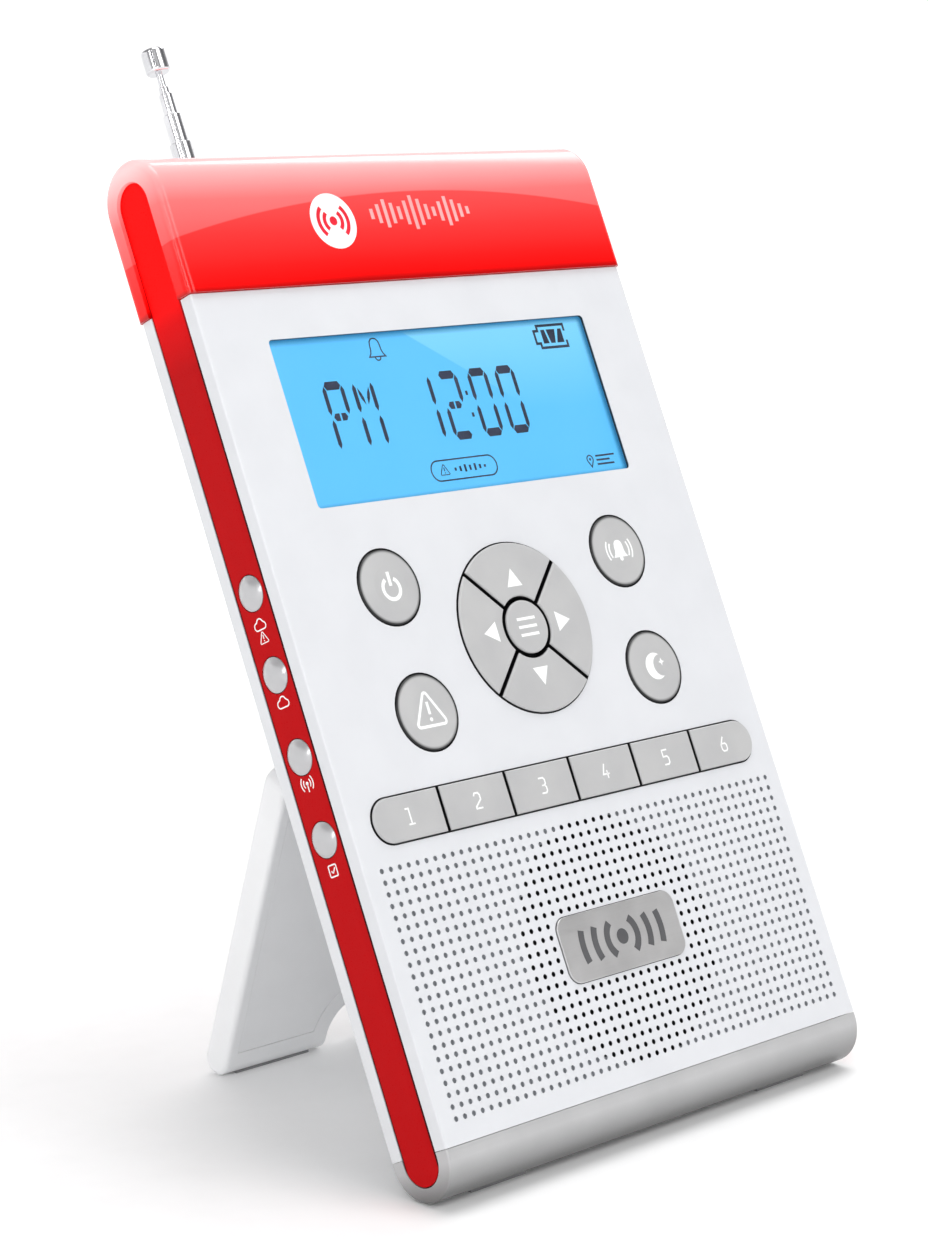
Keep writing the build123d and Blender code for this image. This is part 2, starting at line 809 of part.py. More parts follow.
def battery_door():
    """Rear cover of the battery bay, round along its lower hinge edge."""
    low = window_centre - bay_half_z + door_gap
    high = window_centre + bay_half_z - door_gap
    x0 = bay_x - bay_half_x + door_gap
    x1 = bay_x + bay_half_x - door_gap
    r = door_thickness / 2
    door = block(x0, x1, body_depth - door_thickness, body_depth, low + r, high)
    door += rod_x(x0, x1, body_depth - r, low + r, r)
    y0 = body_depth - door_thickness - door_latch_depth
    for x in (bay_x - 12, bay_x + 12):
        door += block(x - 3, x + 3, y0, body_depth - r, high - 0.9, high)
    for i in range(5):
        z = high - 6.0 - 1.6 * i
        door -= block(bay_x - 7, bay_x + 7, body_depth - 0.3, body_depth + 1, z, z + 0.7)
    return door


def alert_board():
    """Board inside the lens that carries the alert lamps."""
    y0 = mid - board_thickness / 2
    return block(-52, 52, y0, y0 + board_thickness, lens_edge + 2, lens_edge + 16)


def alert_lamps():
    """Red lamps on the front of the alert board."""
    y1 = mid - board_thickness / 2
    lamps = []
    for i in range(7):
        x = (i - 3) * 15.0
        lamp = block(x - 2.5, x + 2.5, y1 - 1.9, y1, lens_edge + 8.5, lens_edge + 13.5)
        lamp += Pos(x, y1 - 1.9, lens_edge + 11) * Sphere(1.6)
        lamps.append(lamp & block(x - 4, x + 4, 0, y1, lens_edge, lens_edge + 20))
    return lamps


def ferrite_rod():
    """Aerial rod for the medium-wave band."""
    z = window_centre + window_height / 2 + window_overlap + 1.0 + rod_diameter / 2
    return rod_x(-rod_length / 2, rod_length / 2, mid + 0.6, z, rod_diameter / 2)


def ferrite_coil():
    """Winding on the ferrite rod."""
    z = window_centre + window_height / 2 + window_overlap + 1.0 + rod_diameter / 2
    x0 = rod_length / 2 - coil_length - 4
    coil = rod_x(x0, x0 + coil_length, mid + 0.6, z, coil_diameter / 2)
    return coil - rod_x(x0 - 1, x0 + coil_length + 1, mid + 0.6, z, rod_diameter / 2)


# ---------------------------------------------------------------- jacks
def earphone_jack():
    """Earphone socket, open at the right side of the casing."""
    z = nav_centre - earphone_drop
    back = half_width - earphone_depth - 1.0
    jack = rod_x(flange_back - 0.5, half_width - 0.05, mid, z, earphone_radius + jack_shell - 0.05)
    jack += block(back, flange_back - 0.4, mid - 3.2, mid + 3.2, z - 3.2, z + 3.2)
    return jack - rod_x(half_width - earphone_depth, half_width + 1, mid, z, earphone_radius)


def power_jack():
    """Round power socket with its centre pin."""
    z = nav_centre - power_jack_drop
    back = half_width - power_jack_depth - 2.0
    jack = rod_x(flange_back - 0.5, half_width - 0.05, mid, z, power_jack_radius + jack_shell - 0.05)
    jack += block(back, flange_back - 0.4, mid - 4.6, mid + 4.6, z - 4.6, z + 4.6)
    jack -= rod_x(half_width - power_jack_depth, half_width + 1, mid, z, power_jack_radius)
    return jack + rod_x(back + 0.5, half_width - 1.0, mid, z, power_pin_radius)


# ---------------------------------------------------------------- stand
def stand_place():
    """Stand frame: origin on the hinge axis, -Z along the open stand."""
    return Pos(0, hinge_y, stand_hinge_height) * Rot(stand_open, 0, 0)


def stand_outline(inset):
    """Front-view outline of the stand below its hinge, shrunk by an inset."""
    half = stand_width / 2 - inset
    top = -shoulder_drop - inset
    plate = Pos(0, (top - stand_reach + inset) / 2) * Rectangle(2 * half, stand_reach + top - inset)
    return fillet(plate.vertices().group_by(Axis.Y)[-1], max(shoulder_round - inset, 0.5))


def notch_outline(grow):
    """Round-topped finger notch in the foot of the stand."""
    width = notch_width + 2 * grow
    low = -stand_reach - foot_radius - 5
    high = -stand_reach - foot_radius + notch_height + grow
    notch = Pos(0, (low + high) / 2) * Rectangle(width, high - low)
    return fillet(notch.vertices().group_by(Axis.Y)[-1], notch_round + grow)


def stand_pads():
    """Rubber pads under the stand's foot, flat on the floor when open."""
    pads = []
    for side in (-1, 1):
        pad = Pos(0, 0, -(foot_radius + pad_proud) + (pad_proud + pad_seat) / 2)
        pad *= Box(stand_pad_length, stand_pad_width, pad_proud + pad_seat)
        place = stand_place() * Pos(side * stand_pad_x, 0, -stand_reach) * Rot(-stand_slope, 0, 0)
        pads.append(place * pad)
    return pads


def stand_blank():
    """Solid stand in its own frame: neck, wide plate and round foot."""
    half = stand_width / 2
    r = foot_radius
    plate = face_bar(stand_outline(0), -r, r)
    foot = rod_x(-half, half, 0, -stand_reach, r)
    plate = plate + foot
    ends = plate.faces().filter_by(Axis.X).filter_by(lambda f: abs(abs(f.center().X) - half) < 0.01)
    edges = [e for f in ends for e in f.outer_wire().edges()]
    long_edges = [e for e in edges if e.center().Z < -shoulder_drop - shoulder_round - 0.1]
    plate = fillet(long_edges, stand_edge)
    arm = block(-neck_half_width, neck_half_width, -r, r, -shoulder_drop - 2, 0)
    barrel = rod_x(-neck_half_width, neck_half_width, 0, 0, r)
    return plate + arm + barrel


def kickstand():
    """Moulded stand, hollow behind its inner cover."""
    r = foot_radius
    stand = stand_blank() - face_bar(notch_outline(0), -2 * r, 2 * r)
    seat = stand_outline(stand_cover_border) - notch_outline(stand_wall + stand_cover_border)
    stand -= face_bar(seat, -r - 1, -r + stand_cover_thickness)
    pocket = stand_outline(stand_cover_border + stand_wall)
    pocket -= notch_outline(2 * stand_wall + stand_cover_border)
    stand -= face_bar(pocket, -r, r - stand_wall)
    reach = neck_half_width + 1
    stand -= rod_x(-reach, reach, 0, 0, hinge_pin_radius + pin_clearance)
    stand = stand_place() * stand
    for pad in stand_pads():
        stand -= pad
    return stand


def kickstand_cover():
    """Flat inner cover of the stand, let in flush."""
    r = foot_radius
    border = stand_cover_border + seam
    cover = stand_outline(border) - notch_outline(stand_wall + border)
    return stand_place() * face_bar(cover, -r + 0.05, -r + stand_cover_thickness)


def hinge_pin():
    """Steel pin through the ears and the stand's barrel."""
    half = neck_half_width + lug_gap + lug_thickness - 0.3
    return rod_x(-half, half, hinge_y, stand_hinge_height, hinge_pin_radius)


# ---------------------------------------------------------------- aerial
def aerial_bracket():
    """Steel plate and nut inside the rear shell that hold the swivel."""
    half = bracket_size / 2
    y1 = rear_inside
    plate = block(aerial_x - half, aerial_x + half, y1 - bracket_thickness, y1,
                  aerial_z - half, aerial_z + half)
    return plate - rod_y(aerial_x, aerial_z, 0, body_depth, swivel_stud_radius + pin_clearance)


def aerial_swivel():
    """Turntable with a riveted fork for the aerial and a stud through the rear wall."""
    y0 = body_depth + swivel_gap
    base = rod_y(aerial_x, aerial_z, y0, y0 + swivel_thickness, swivel_radius)
    stud_end = rear_inside - bracket_thickness - 0.5
    base += rod_y(aerial_x, aerial_z, stud_end, y0 + 0.1, swivel_stud_radius)
    base += rod_y(aerial_x, aerial_z, stud_end - 1.2, stud_end, swivel_stud_radius + 1.0)
    for side in (-1, 1):
        x0 = aerial_x + side * (fork_gap / 2 + fork_play)
        x1 = x0 + side * fork_wall
        low, high = min(x0, x1), max(x0, x1)
        base += rod_x(low, high, aerial_y, aerial_z, tube_diameters[0] / 2)
        base += block(low, high, y0, aerial_y, aerial_z - tube_diameters[0] / 2,
                      aerial_z + tube_diameters[0] / 2)
    reach = fork_gap / 2 + fork_play + fork_wall
    return base + rod_x(aerial_x - reach, aerial_x + reach, aerial_y, aerial_z, tilt_pin_radius)


def tube(index):
    """One telescopic tube; the first ends in the lug that tilts in the swivel's fork."""
    outer = tube_diameters[index] / 2
    top = aerial_top + tube_tops[index]
    low = aerial_z + tube_foot if index == 0 else top - tube_lengths[index]
    body = rod_z(aerial_x, aerial_y, low, top, outer)
    body = fillet(body.edges().sort_by(Axis.Z)[-1], 0.12)
    floor = low + (1.0 if index == 0 else -1.0)
    body -= rod_z(aerial_x, aerial_y, floor, top + 1, outer - tube_wall)
    if index > 0:
        return body
    half = fork_gap / 2
    lug = rod_x(aerial_x - half, aerial_x + half, aerial_y, aerial_z, outer)
    lug += block(aerial_x - half, aerial_x + half, aerial_y - outer, aerial_y + outer,
                 aerial_z, aerial_z + tube_foot)
    lug -= rod_x(aerial_x - half - 1, aerial_x + half + 1, aerial_y, aerial_z,
                 tilt_pin_radius + pin_clearance)
    return body + lug


def aerial_tip():
    """Innermost rod with the turned cap on its end."""
    low = aerial_top + tip_rise
    cap = rod_z(aerial_x, aerial_y, low, low + tip_height, tip_diameter / 2)
    cap = fillet(full_circles(cap, tip_diameter / 2), tip_round)
    return cap + rod_z(aerial_x, aerial_y, low - tip_rod_length, low + 1.0, tip_rod_diameter / 2)


# ---------------------------------------------------------------- assembly
def assembly():
    """Every node of the radio, by name, in the upright frame."""
    nodes = {
        "front_shell": front_shell(),
        "rear_shell": rear_shell(),
        "base_cap": base_cap(),
        "alert_lens": alert_lens(),
        "left_side_strip": side_strip(-1),
        "right_side_strip": side_strip(1),
        "badge": badge(),
        "menu_key": menu_key(),
        "key_mat": key_mat(),
        "main_board": main_board(),
        "tuner_shield": tuner_shield(),
        "switch_boards": Compound([side_board(-1), side_board(1)]),
        "speaker_frame": Compound([speaker_frame(), speaker_magnet()]),
        "speaker_cone": speaker_cone(),
        "grille_cloth": grille_cloth(),
        "battery_cells": Compound(battery_cells()),
        "battery_contacts": Compound(battery_contacts()),
        "battery_door": battery_door(),
        "alert_board": alert_board(),
        "alert_lamps": Compound(alert_lamps()),
        "ferrite_rod": ferrite_rod(),
        "ferrite_coil": ferrite_coil(),
        "earphone_jack": earphone_jack(),
        "power_jack": power_jack(),
        "foot_pads": Compound(foot_pads()),
        "screws": Compound(housing_screws() + board_screws()),
        "kickstand": kickstand(),
        "kickstand_cover": kickstand_cover(),
        "stand_pads": Compound(stand_pads()),
        "hinge_pin": hinge_pin(),
        "aerial_bracket": aerial_bracket(),
        "aerial_swivel": aerial_swivel(),
        "aerial_tip": aerial_tip(),
    }
    nodes.update(display_layers())
    for name, place in round_key_places().items():
        nodes[name] = round_key(*place)
    for turn, name in enumerate(("up", "left", "down", "right")):
        nodes["nav_" + name + "_key"] = nav_key(90 * turn)
    for index in range(preset_count):
        nodes["preset_key_" + str(index + 1)] = preset_key(index)
    for number, z in enumerate(side_key_heights(-1), 1):
        nodes["side_key_" + str(number)] = side_key(-1, z)
    for name, z in zip(("up", "down"), side_key_heights(1)):
        nodes["volume_" + name + "_key"] = side_key(1, z)
    for index in range(len(tube_diameters)):
        nodes["aerial_tube_" + str(index + 1)] = tube(index)
    return nodes


def on_floor():
    """Lean the slab back and set its pads on the floor."""
    return Pos(0, 0, floor_z) * Rot(-lean, 0, 0) * Pos(0, -mid, -radius)


def main():
    """Write every node, leaning on its stand, with the footprint centred."""
    leaning = {name: on_floor() * shape for name, shape in assembly().items()}
    size = Compound(list(leaning.values())).bounding_box()
    centre = Pos(-size.center().X, -size.center().Y, 0)
    for name, shape in leaning.items():
        export_step(centre * shape, "parts/" + name + ".step")


main()
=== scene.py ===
"""Looks for the emergency radio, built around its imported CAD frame."""
import bmesh
import bpy
import json
from math import asin, cos, degrees, pi, radians, sin
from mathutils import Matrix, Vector
from mathutils.bvhtree import BVHTree
from mathutils.geometry import tessellate_polygon


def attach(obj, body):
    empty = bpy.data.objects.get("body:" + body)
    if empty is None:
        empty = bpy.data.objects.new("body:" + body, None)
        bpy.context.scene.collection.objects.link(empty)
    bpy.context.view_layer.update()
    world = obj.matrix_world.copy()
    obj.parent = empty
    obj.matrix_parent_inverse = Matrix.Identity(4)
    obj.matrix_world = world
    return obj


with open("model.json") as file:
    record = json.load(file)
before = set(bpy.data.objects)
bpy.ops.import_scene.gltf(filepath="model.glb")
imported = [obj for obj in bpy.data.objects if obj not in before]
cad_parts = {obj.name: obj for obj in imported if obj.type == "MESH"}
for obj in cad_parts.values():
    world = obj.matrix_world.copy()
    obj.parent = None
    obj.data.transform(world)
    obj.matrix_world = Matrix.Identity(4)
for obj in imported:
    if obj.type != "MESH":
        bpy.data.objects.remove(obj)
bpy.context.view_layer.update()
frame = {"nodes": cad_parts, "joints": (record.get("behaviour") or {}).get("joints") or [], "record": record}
MM = 0.001
JOINTS = {j["name"]: j for j in frame["joints"]}
RIGHT = Vector((1, 0, 0))
INTO = Vector(JOINTS["menu_key_press"]["axis"])          # into the face
UP = Vector(JOINTS["aerial_tube_2_slide"]["axis"])       # along the face


def add_object(name, data):
    """New object in the scene."""
    thing = bpy.data.objects.new(name, data)
    bpy.context.scene.collection.objects.link(thing)
    return thing


# ------------------------------------------------------------------ places
def spans(node):
    """A CAD node's extent along RIGHT, UP and INTO."""
    points = [v.co for v in frame["nodes"][node].data.vertices]
    result = []
    for axis in (RIGHT, UP, INTO):
        along = [p.dot(axis) for p in points]
        result.append((min(along), max(along)))
    return result


def centre(node):
    """Centre of a CAD node in face coordinates (right, up)."""
    (x0, x1), (u0, u1), _ = spans(node)
    return (x0 + x1) / 2, (u0 + u1) / 2


def tree(node):
    """Ray-casting tree of a CAD node's mesh."""
    mesh = frame["nodes"][node].data
    return BVHTree.FromPolygons([v.co for v in mesh.vertices], [p.vertices for p in mesh.polygons])


# ------------------------------------------------------------------ flat shapes, in mm
def ribbon(points, width, closed=False):
    """Line of even width with mitred corners."""
    n = len(points)
    verts = []
    for i, (x, y) in enumerate(points):
        before = points[i - 1] if closed or i > 0 else None
        after = points[(i + 1) % n] if closed or i < n - 1 else None
        steps = []
        if before:
            steps.append(Vector((x - before[0], y - before[1])).normalized())
        if after:
            steps.append(Vector((after[0] - x, after[1] - y)).normalized())
        way = sum(steps, Vector((0, 0))).normalized()
        side = Vector((-way.y, way.x))
        stretch = 1 / max(0.4, side.dot(Vector((-steps[0].y, steps[0].x))))
        offset = side * width / 2 * stretch
        verts += [(x + offset.x, y + offset.y), (x - offset.x, y - offset.y)]
    faces = [(2 * i, 2 * i + 1, 2 * i + 3, 2 * i + 2) for i in range(n - 1)]
    if closed:
        faces.append((2 * n - 2, 2 * n - 1, 1, 0))
    return verts, faces


def arc(x, y, r, start, end, steps=24):
    """Points along an arc, angles in degrees."""
    angles = [radians(start + (end - start) * i / steps) for i in range(steps + 1)]
    return [(x + r * cos(a), y + r * sin(a)) for a in angles]


def filled(points):
    """Solid shape from one outline."""
    triangles = tessellate_polygon([[Vector((x, y, 0)) for x, y in points]])
    return list(points), [tuple(t) for t in triangles]


def disc(x, y, r, steps=40):
    """Round spot."""
    return filled(arc(x, y, r, 0, 360 - 360 / steps, steps - 1))


def pointed_bar(start, end, width, point):
    """Display segment with pointed ends."""
    a, b = Vector(start), Vector(end)
    way = (b - a).normalized()
    side = Vector((-way.y, way.x)) * width / 2
    tip = way * point
    outline = [a, a + tip + side, b - tip + side, b, b - tip - side, a + tip - side]
    return filled([(p.x, p.y) for p in outline])


def shifted(shapes, dx, dy, scale=1.0):
    """Move and scale a list of shapes."""
    return [([(x * scale + dx, y * scale + dy) for x, y in verts], faces) for verts, faces in shapes]


def rounded_box(width, height, r, steps=8):
    """Outline of a rounded rectangle about the origin."""
    points = []
    for cx, cy, start in ((1, 1, 0), (-1, 1, 90), (-1, -1, 180), (1, -1, 270)):
        points += arc(cx * (width / 2 - r), cy * (height / 2 - r), r, start, start + 90, steps)
    return points


# ------------------------------------------------------------------ printing
PRINT_LIFT = 0.03 * MM
PRINT_SINK = 0.05 * MM
PRINT_GRID = 1.2 * MM


def cut_to_grid(bm, u_range, v_range):
    """Cut flat shapes along a fine grid, so that they can follow a curved surface."""
    for axis, (low, high) in ((Vector((1, 0, 0)), u_range), (Vector((0, 1, 0)), v_range)):
        steps = int((high - low) / PRINT_GRID)
        for i in range(1, steps + 1):
            geometry = bm.verts[:] + bm.edges[:] + bm.faces[:]
            bmesh.ops.bisect_plane(bm, geom=geometry, plane_co=axis * (low + i * PRINT_GRID), plane_no=axis)


def print_on(name, shapes, node, body, material, place, right=RIGHT, up=UP, into=INTO, curved=False,
             lift=PRINT_LIFT):
    """Print flat shapes on a CAD node's surface as a thin closed layer that rides on its body."""
    surface = tree(node)
    bm = bmesh.new()
    for verts, faces in shapes:
        corners = [bm.verts.new((x * MM, y * MM, 0)) for x, y in verts]
        for face in faces:
            try:
                bm.faces.new([corners[i] for i in face])
            except ValueError:
                continue
    if curved:
        us = [v.co.x for v in bm.verts]
        vs = [v.co.y for v in bm.verts]
        cut_to_grid(bm, (min(us), max(us)), (min(vs), max(vs)))
    bmesh.ops.recalc_face_normals(bm, faces=bm.faces[:])
    far = 0.05
    last = None
    for v in bm.verts:
        start = right * (place[0] + v.co.x) + up * (place[1] + v.co.y) + into * (place[2] - far)
        hit = surface.ray_cast(start, into, 2 * far)[0]
        depth = hit.dot(into) if hit else last
        if depth is None:
            depth = place[2]
        last = depth
        v.co = right * (place[0] + v.co.x) + up * (place[1] + v.co.y) + into * (depth - lift)
    bm.normal_update()
    for face in bm.faces:
        if face.normal.dot(into) > 0:
            face.normal_flip()
    top = bm.faces[:]
    made = bmesh.ops.extrude_face_region(bm, geom=top, use_keep_orig=True)["geom"]
    sunk = [g for g in made if isinstance(g, bmesh.types.BMVert)]
    bmesh.ops.translate(bm, verts=sunk, vec=into * (lift + PRINT_SINK))
    bmesh.ops.recalc_face_normals(bm, faces=bm.faces[:])
    mesh = bpy.data.meshes.new(name)
    bm.to_mesh(mesh)
    bm.free()
    mesh.materials.append(material)
    piece = add_object(name, mesh)
    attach(piece, body)
    return piece


# ------------------------------------------------------------------ materials
def new_material(name):
    """Material with a principled shader and object coordinates."""
    material = bpy.data.materials.new(name)
    material.use_nodes = True
    net = material.node_tree
    shader = net.nodes["Principled BSDF"]
    coords = net.nodes.new("ShaderNodeTexCoord")
    return material, net, shader, coords


def noise(net, coords, scale, detail=3.0, stretch=None):
    """Noise in the object's own coordinates; stretch is a scale for each axis."""
    node = net.nodes.new("ShaderNodeTexNoise")
    node.inputs["Scale"].default_value = scale
    node.inputs["Detail"].default_value = detail
    source = coords.outputs["Object"]
    if stretch:
        mapping = net.nodes.new("ShaderNodeMapping")
        mapping.inputs["Scale"].default_value = stretch
        net.links.new(source, mapping.inputs["Vector"])
        source = mapping.outputs["Vector"]
    net.links.new(source, node.inputs["Vector"])
    return node


def ramp(net, factor, stops):
    """Colour ramp over a factor."""
    node = net.nodes.new("ShaderNodeValToRGB")
    elements = node.color_ramp.elements
    while len(elements) < len(stops):
        elements.new(0.5)
    for element, (position, colour) in zip(elements, stops):
        element.position = position
        element.color = (*colour, 1.0)
    net.links.new(factor, node.inputs["Fac"])
    return node.outputs["Color"]


def to_range(net, factor, low, high):
    """Map a 0..1 value to a range."""
    node = net.nodes.new("ShaderNodeMapRange")
    node.inputs["From Min"].default_value = 0.3
    node.inputs["From Max"].default_value = 0.7
    node.inputs["To Min"].default_value = low
    node.inputs["To Max"].default_value = high
    net.links.new(factor, node.inputs["Value"])
    return node.outputs["Result"]


def bump(net, height, shader, distance):
    """Bump from a height value."""
    node = net.nodes.new("ShaderNodeBump")
    node.inputs["Distance"].default_value = distance
    node.inputs["Strength"].default_value = 1.0
    net.links.new(height, node.inputs["Height"])
    net.links.new(node.outputs["Normal"], shader.inputs["Normal"])


GRAIN = 2600.0                 # a moulded surface's own fine grain
GRAIN_DEPTH = 0.004 * MM


def moulded(name, light, dark, rough, grain=GRAIN, depth=GRAIN_DEPTH, coat=0.0, metal=0.0, stretch=None):
    """Moulded or painted surface: mottled colour, uneven gloss and a fine grain."""
    material, net, shader, coords = new_material(name)
    cloud = noise(net, coords, 90.0, 4.0)
    fine = noise(net, coords, grain, 2.0, stretch)
    net.links.new(ramp(net, cloud.outputs["Fac"], ((0.35, dark), (0.65, light))),
                    shader.inputs["Base Color"])
    net.links.new(to_range(net, fine.outputs["Fac"], rough[0], rough[1]), shader.inputs["Roughness"])
    bump(net, fine.outputs["Fac"], shader, depth)
    shader.inputs["Metallic"].default_value = metal
    shader.inputs["Coat Weight"].default_value = coat
    shader.inputs["Coat Roughness"].default_value = 0.08
    return material


def along(net, coords, axis, low, high, clamp=True):
    """0..1 value that runs along an axis between two places."""
    dot = net.nodes.new("ShaderNodeVectorMath")
    dot.operation = "DOT_PRODUCT"
    net.links.new(coords.outputs["Object"], dot.inputs[0])
    dot.inputs[1].default_value = axis
    node = net.nodes.new("ShaderNodeMapRange")
    node.inputs["From Min"].default_value = low
    node.inputs["From Max"].default_value = high
    node.clamp = clamp
    net.links.new(dot.outputs["Value"], node.inputs["Value"])
    return node.outputs["Result"]


def calc(net, operation, *values):
    """Math node over sockets and numbers."""
    node = net.nodes.new("ShaderNodeMath")
    node.operation = operation
    for socket, value in zip(node.inputs, values):
        if isinstance(value, (int, float)):
            socket.default_value = value
        else:
            net.links.new(value, socket)
    return node.outputs[0]


def mixed(net, factor, first, second):
    """Mix two colours, given as sockets or as values."""
    node = net.nodes.new("ShaderNodeMix")
    node.data_type = "RGBA"
    net.links.new(factor, node.inputs["Factor"])
    for name, value in (("A", first), ("B", second)):
        socket = [i for i in node.inputs if i.name == name and i.type == "RGBA"][0]
        if isinstance(value, tuple):
            socket.default_value = (*value, 1.0)
        else:
            net.links.new(value, socket)
    return [o for o in node.outputs if o.type == "RGBA"][0]


def darkened(material, mask, dark):
    """Darken a material's base colour where a mask is 1."""
    net = material.node_tree
    shader = net.nodes["Principled BSDF"]
    base = shader.inputs["Base Color"].links[0].from_socket
    net.links.new(mixed(net, mask, base, dark), shader.inputs["Base Color"])


def inside(net, coords, axis, low, high, edge=0.05 * MM):
    """1 between two places along an axis, with narrow soft edges."""
    up = along(net, coords, axis, low - edge, low + edge)
    down = along(net, coords, axis, high + edge, high - edge)
    return calc(net, "MULTIPLY", up, down)


# painted shade in the gaps and recesses: near black in the openings and on the keys' sides, grey in the blind
# holes
GAP_PAINTED_SHADE = (0.006, 0.006, 0.007)
BLIND_HOLE_PAINTED_SHADE = (0.33, 0.345, 0.37)
SOUND_HALF_WIDTH = 28.4 * MM   # field of open grille holes
SOUND_HALF_HEIGHT = 27.0 * MM
FACE_ROUND = 0.13 * MM         # kept white below the face, at the openings' edges, above the painted shade
FRONT_DEPTH = 4 * MM           # deeper than any opening's wall
SIDE_MARGIN = 3.4 * MM         # from the casing's side to the first hole
PRESET_MARGIN = 1.5 * MM       # below the preset keys
KEY_SIDE_SHADE_RISE = 0.28 * MM        # painted shade on a key's sides starts this far above the face
KEY_DEPTH = 9 * MM             # longer than a key


def shadowed_openings(material):
    """Painted shade in the openings: dark walls in the window, the key openings and the open grille holes;
    grey in the blind holes.
    """
    net = material.node_tree
    coords = net.nodes["Texture Coordinate"]
    (x0, x1), (_, top), (face, _) = spans("front_shell")
    depth = inside(net, coords, INTO, face + FACE_ROUND, face + FRONT_DEPTH)
    width = inside(net, coords, RIGHT, x0 + SIDE_MARGIN, x1 - SIDE_MARGIN)
    keys = inside(net, coords, UP, spans("preset_key_1")[1][0] - PRESET_MARGIN, top)
    xc, uc = centre("badge")
    across = along(net, coords, RIGHT, xc, xc + SOUND_HALF_WIDTH, False)
    upward = along(net, coords, UP, uc, uc + SOUND_HALF_HEIGHT, False)
    squares = [calc(net, "MULTIPLY", way, way) for way in (across, upward)]
    sounding = calc(net, "LESS_THAN", calc(net, "ADD", *squares), 1.0)
    region = calc(net, "MAXIMUM", keys, sounding)
    below = calc(net, "MULTIPLY", depth, width)
    darkened(material, below, BLIND_HOLE_PAINTED_SHADE)
    darkened(material, calc(net, "MULTIPLY", below, region), GAP_PAINTED_SHADE)


def painted_key_side_shade(material):
    """Painted shade on a key's sides, which draws a dark outline round it just above the face."""
    net = material.node_tree
    coords = net.nodes["Texture Coordinate"]
    face = spans("front_shell")[2][0]
    mask = inside(net, coords, INTO, face - KEY_SIDE_SHADE_RISE, face + KEY_DEPTH)
    darkened(material, mask, GAP_PAINTED_SHADE)


LENS_CURVE_TOP = 0.55          # where across the cap the painted reflection's edge is highest
LENS_CURVE_BEND = 0.86
LENS_CURVE_HEIGHT = (0.618, 0.63)
LENS_CLOUDING = 0.08


def lens_with_painted_light(name):
    """Translucent red cap with painted light: pale above a curved line as a painted reflection, deep red
    below it and darker towards the lower edge; its colour also drives the emission as a painted glow.
    """
    material, net, shader, coords = new_material(name)
    (x0, x1), (low, high), _ = spans("alert_lens")
    height = along(net, coords, UP, low, high)
    across = along(net, coords, RIGHT, x0, x1)
    cloud = noise(net, coords, 40.0, 2.0, (0.3, 1.0, 1.0))
    drift = calc(net, "MULTIPLY_ADD", cloud.outputs["Fac"], LENS_CLOUDING, height)
    below = ramp(net, drift, ((0.045, (0.3, 0.0, 0.0)), (0.09, (0.72, 0.001, 0.001)),
                              (0.18, (0.9, 0.005, 0.005)), (0.4, (1.0, 0.022, 0.022)),
                              (0.66, (1.0, 0.05, 0.05))))
    # painted reflection: the pale colours above the curved line, with a painted highlight near the top edge
    above = ramp(net, drift, ((0.4, (1.0, 0.07, 0.07)), (0.66, (1.0, 0.115, 0.115)),
                              (0.85, (1.0, 0.27, 0.27)), (0.97, (1.0, 0.42, 0.42))))
    offset = calc(net, "SUBTRACT", across, LENS_CURVE_TOP)
    curve = calc(net, "MULTIPLY", calc(net, "MULTIPLY", offset, offset), LENS_CURVE_BEND)
    over = calc(net, "ADD", height, curve)
    line = net.nodes.new("ShaderNodeMapRange")
    line.interpolation_type = "SMOOTHSTEP"
    line.inputs["From Min"].default_value = LENS_CURVE_HEIGHT[0]
    line.inputs["From Max"].default_value = LENS_CURVE_HEIGHT[1]
    net.links.new(over, line.inputs["Value"])
    colour = mixed(net, line.outputs["Result"], below, above)
    net.links.new(colour, shader.inputs["Base Color"])
    # painted glow: the cap's colour also drives its emission
    net.links.new(colour, shader.inputs["Emission Color"])
    shader.inputs["Emission Strength"].default_value = 0.55
    shader.inputs["Roughness"].default_value = 0.16
    shader.inputs["Specular IOR Level"].default_value = 0.3
    fine = noise(net, coords, 900.0, 2.0)
    bump(net, fine.outputs["Fac"], shader, 0.002 * MM)
    return material


STRIP_PLAIN = 4.7 * MM         # half width of the strip inside its dark edges
STRIP_FADE = 0.12 * MM
GLOW_BELOW = 14 * MM           # painted glow: the strip brightens from below the cap's edge
GLOW_ABOVE = 6 * MM


def red_strip(name):
    """Glossy red side strip with a painted glow that makes it brighter inside the cap."""
    material, net, shader, coords = new_material(name)
    _, (low, _), _ = spans("alert_lens")
    height = along(net, coords, UP, low - GLOW_BELOW, low + GLOW_ABOVE)
    fine = noise(net, coords, 2400.0, 2.0)
    # painted glow: the base colour brightens towards the cap
    red = ramp(net, height, ((0.0, (0.47, 0.001, 0.003)), (0.5, (0.5, 0.001, 0.003)),
                             (1.0, (0.85, 0.0, 0.0))))
    _, _, (front, rear) = spans("left_side_strip")
    middle = (front + rear) / 2
    plain = inside(net, coords, INTO, middle - STRIP_PLAIN, middle + STRIP_PLAIN, STRIP_FADE)
    colour = mixed(net, plain, (0.05, 0.0, 0.001), red)
    # painted glow: emission that rises towards the cap
    glow = ramp(net, height, ((0.0, (0.0, 0.0, 0.0)), (1.0, (0.9, 0.0, 0.0))))
    net.links.new(colour, shader.inputs["Base Color"])
    net.links.new(glow, shader.inputs["Emission Color"])
    shader.inputs["Emission Strength"].default_value = 0.5
    net.links.new(to_range(net, fine.outputs["Fac"], 0.26, 0.36), shader.inputs["Roughness"])
    shader.inputs["Specular IOR Level"].default_value = 0.06
    bump(net, fine.outputs["Fac"], shader, 0.004 * MM)
    return material


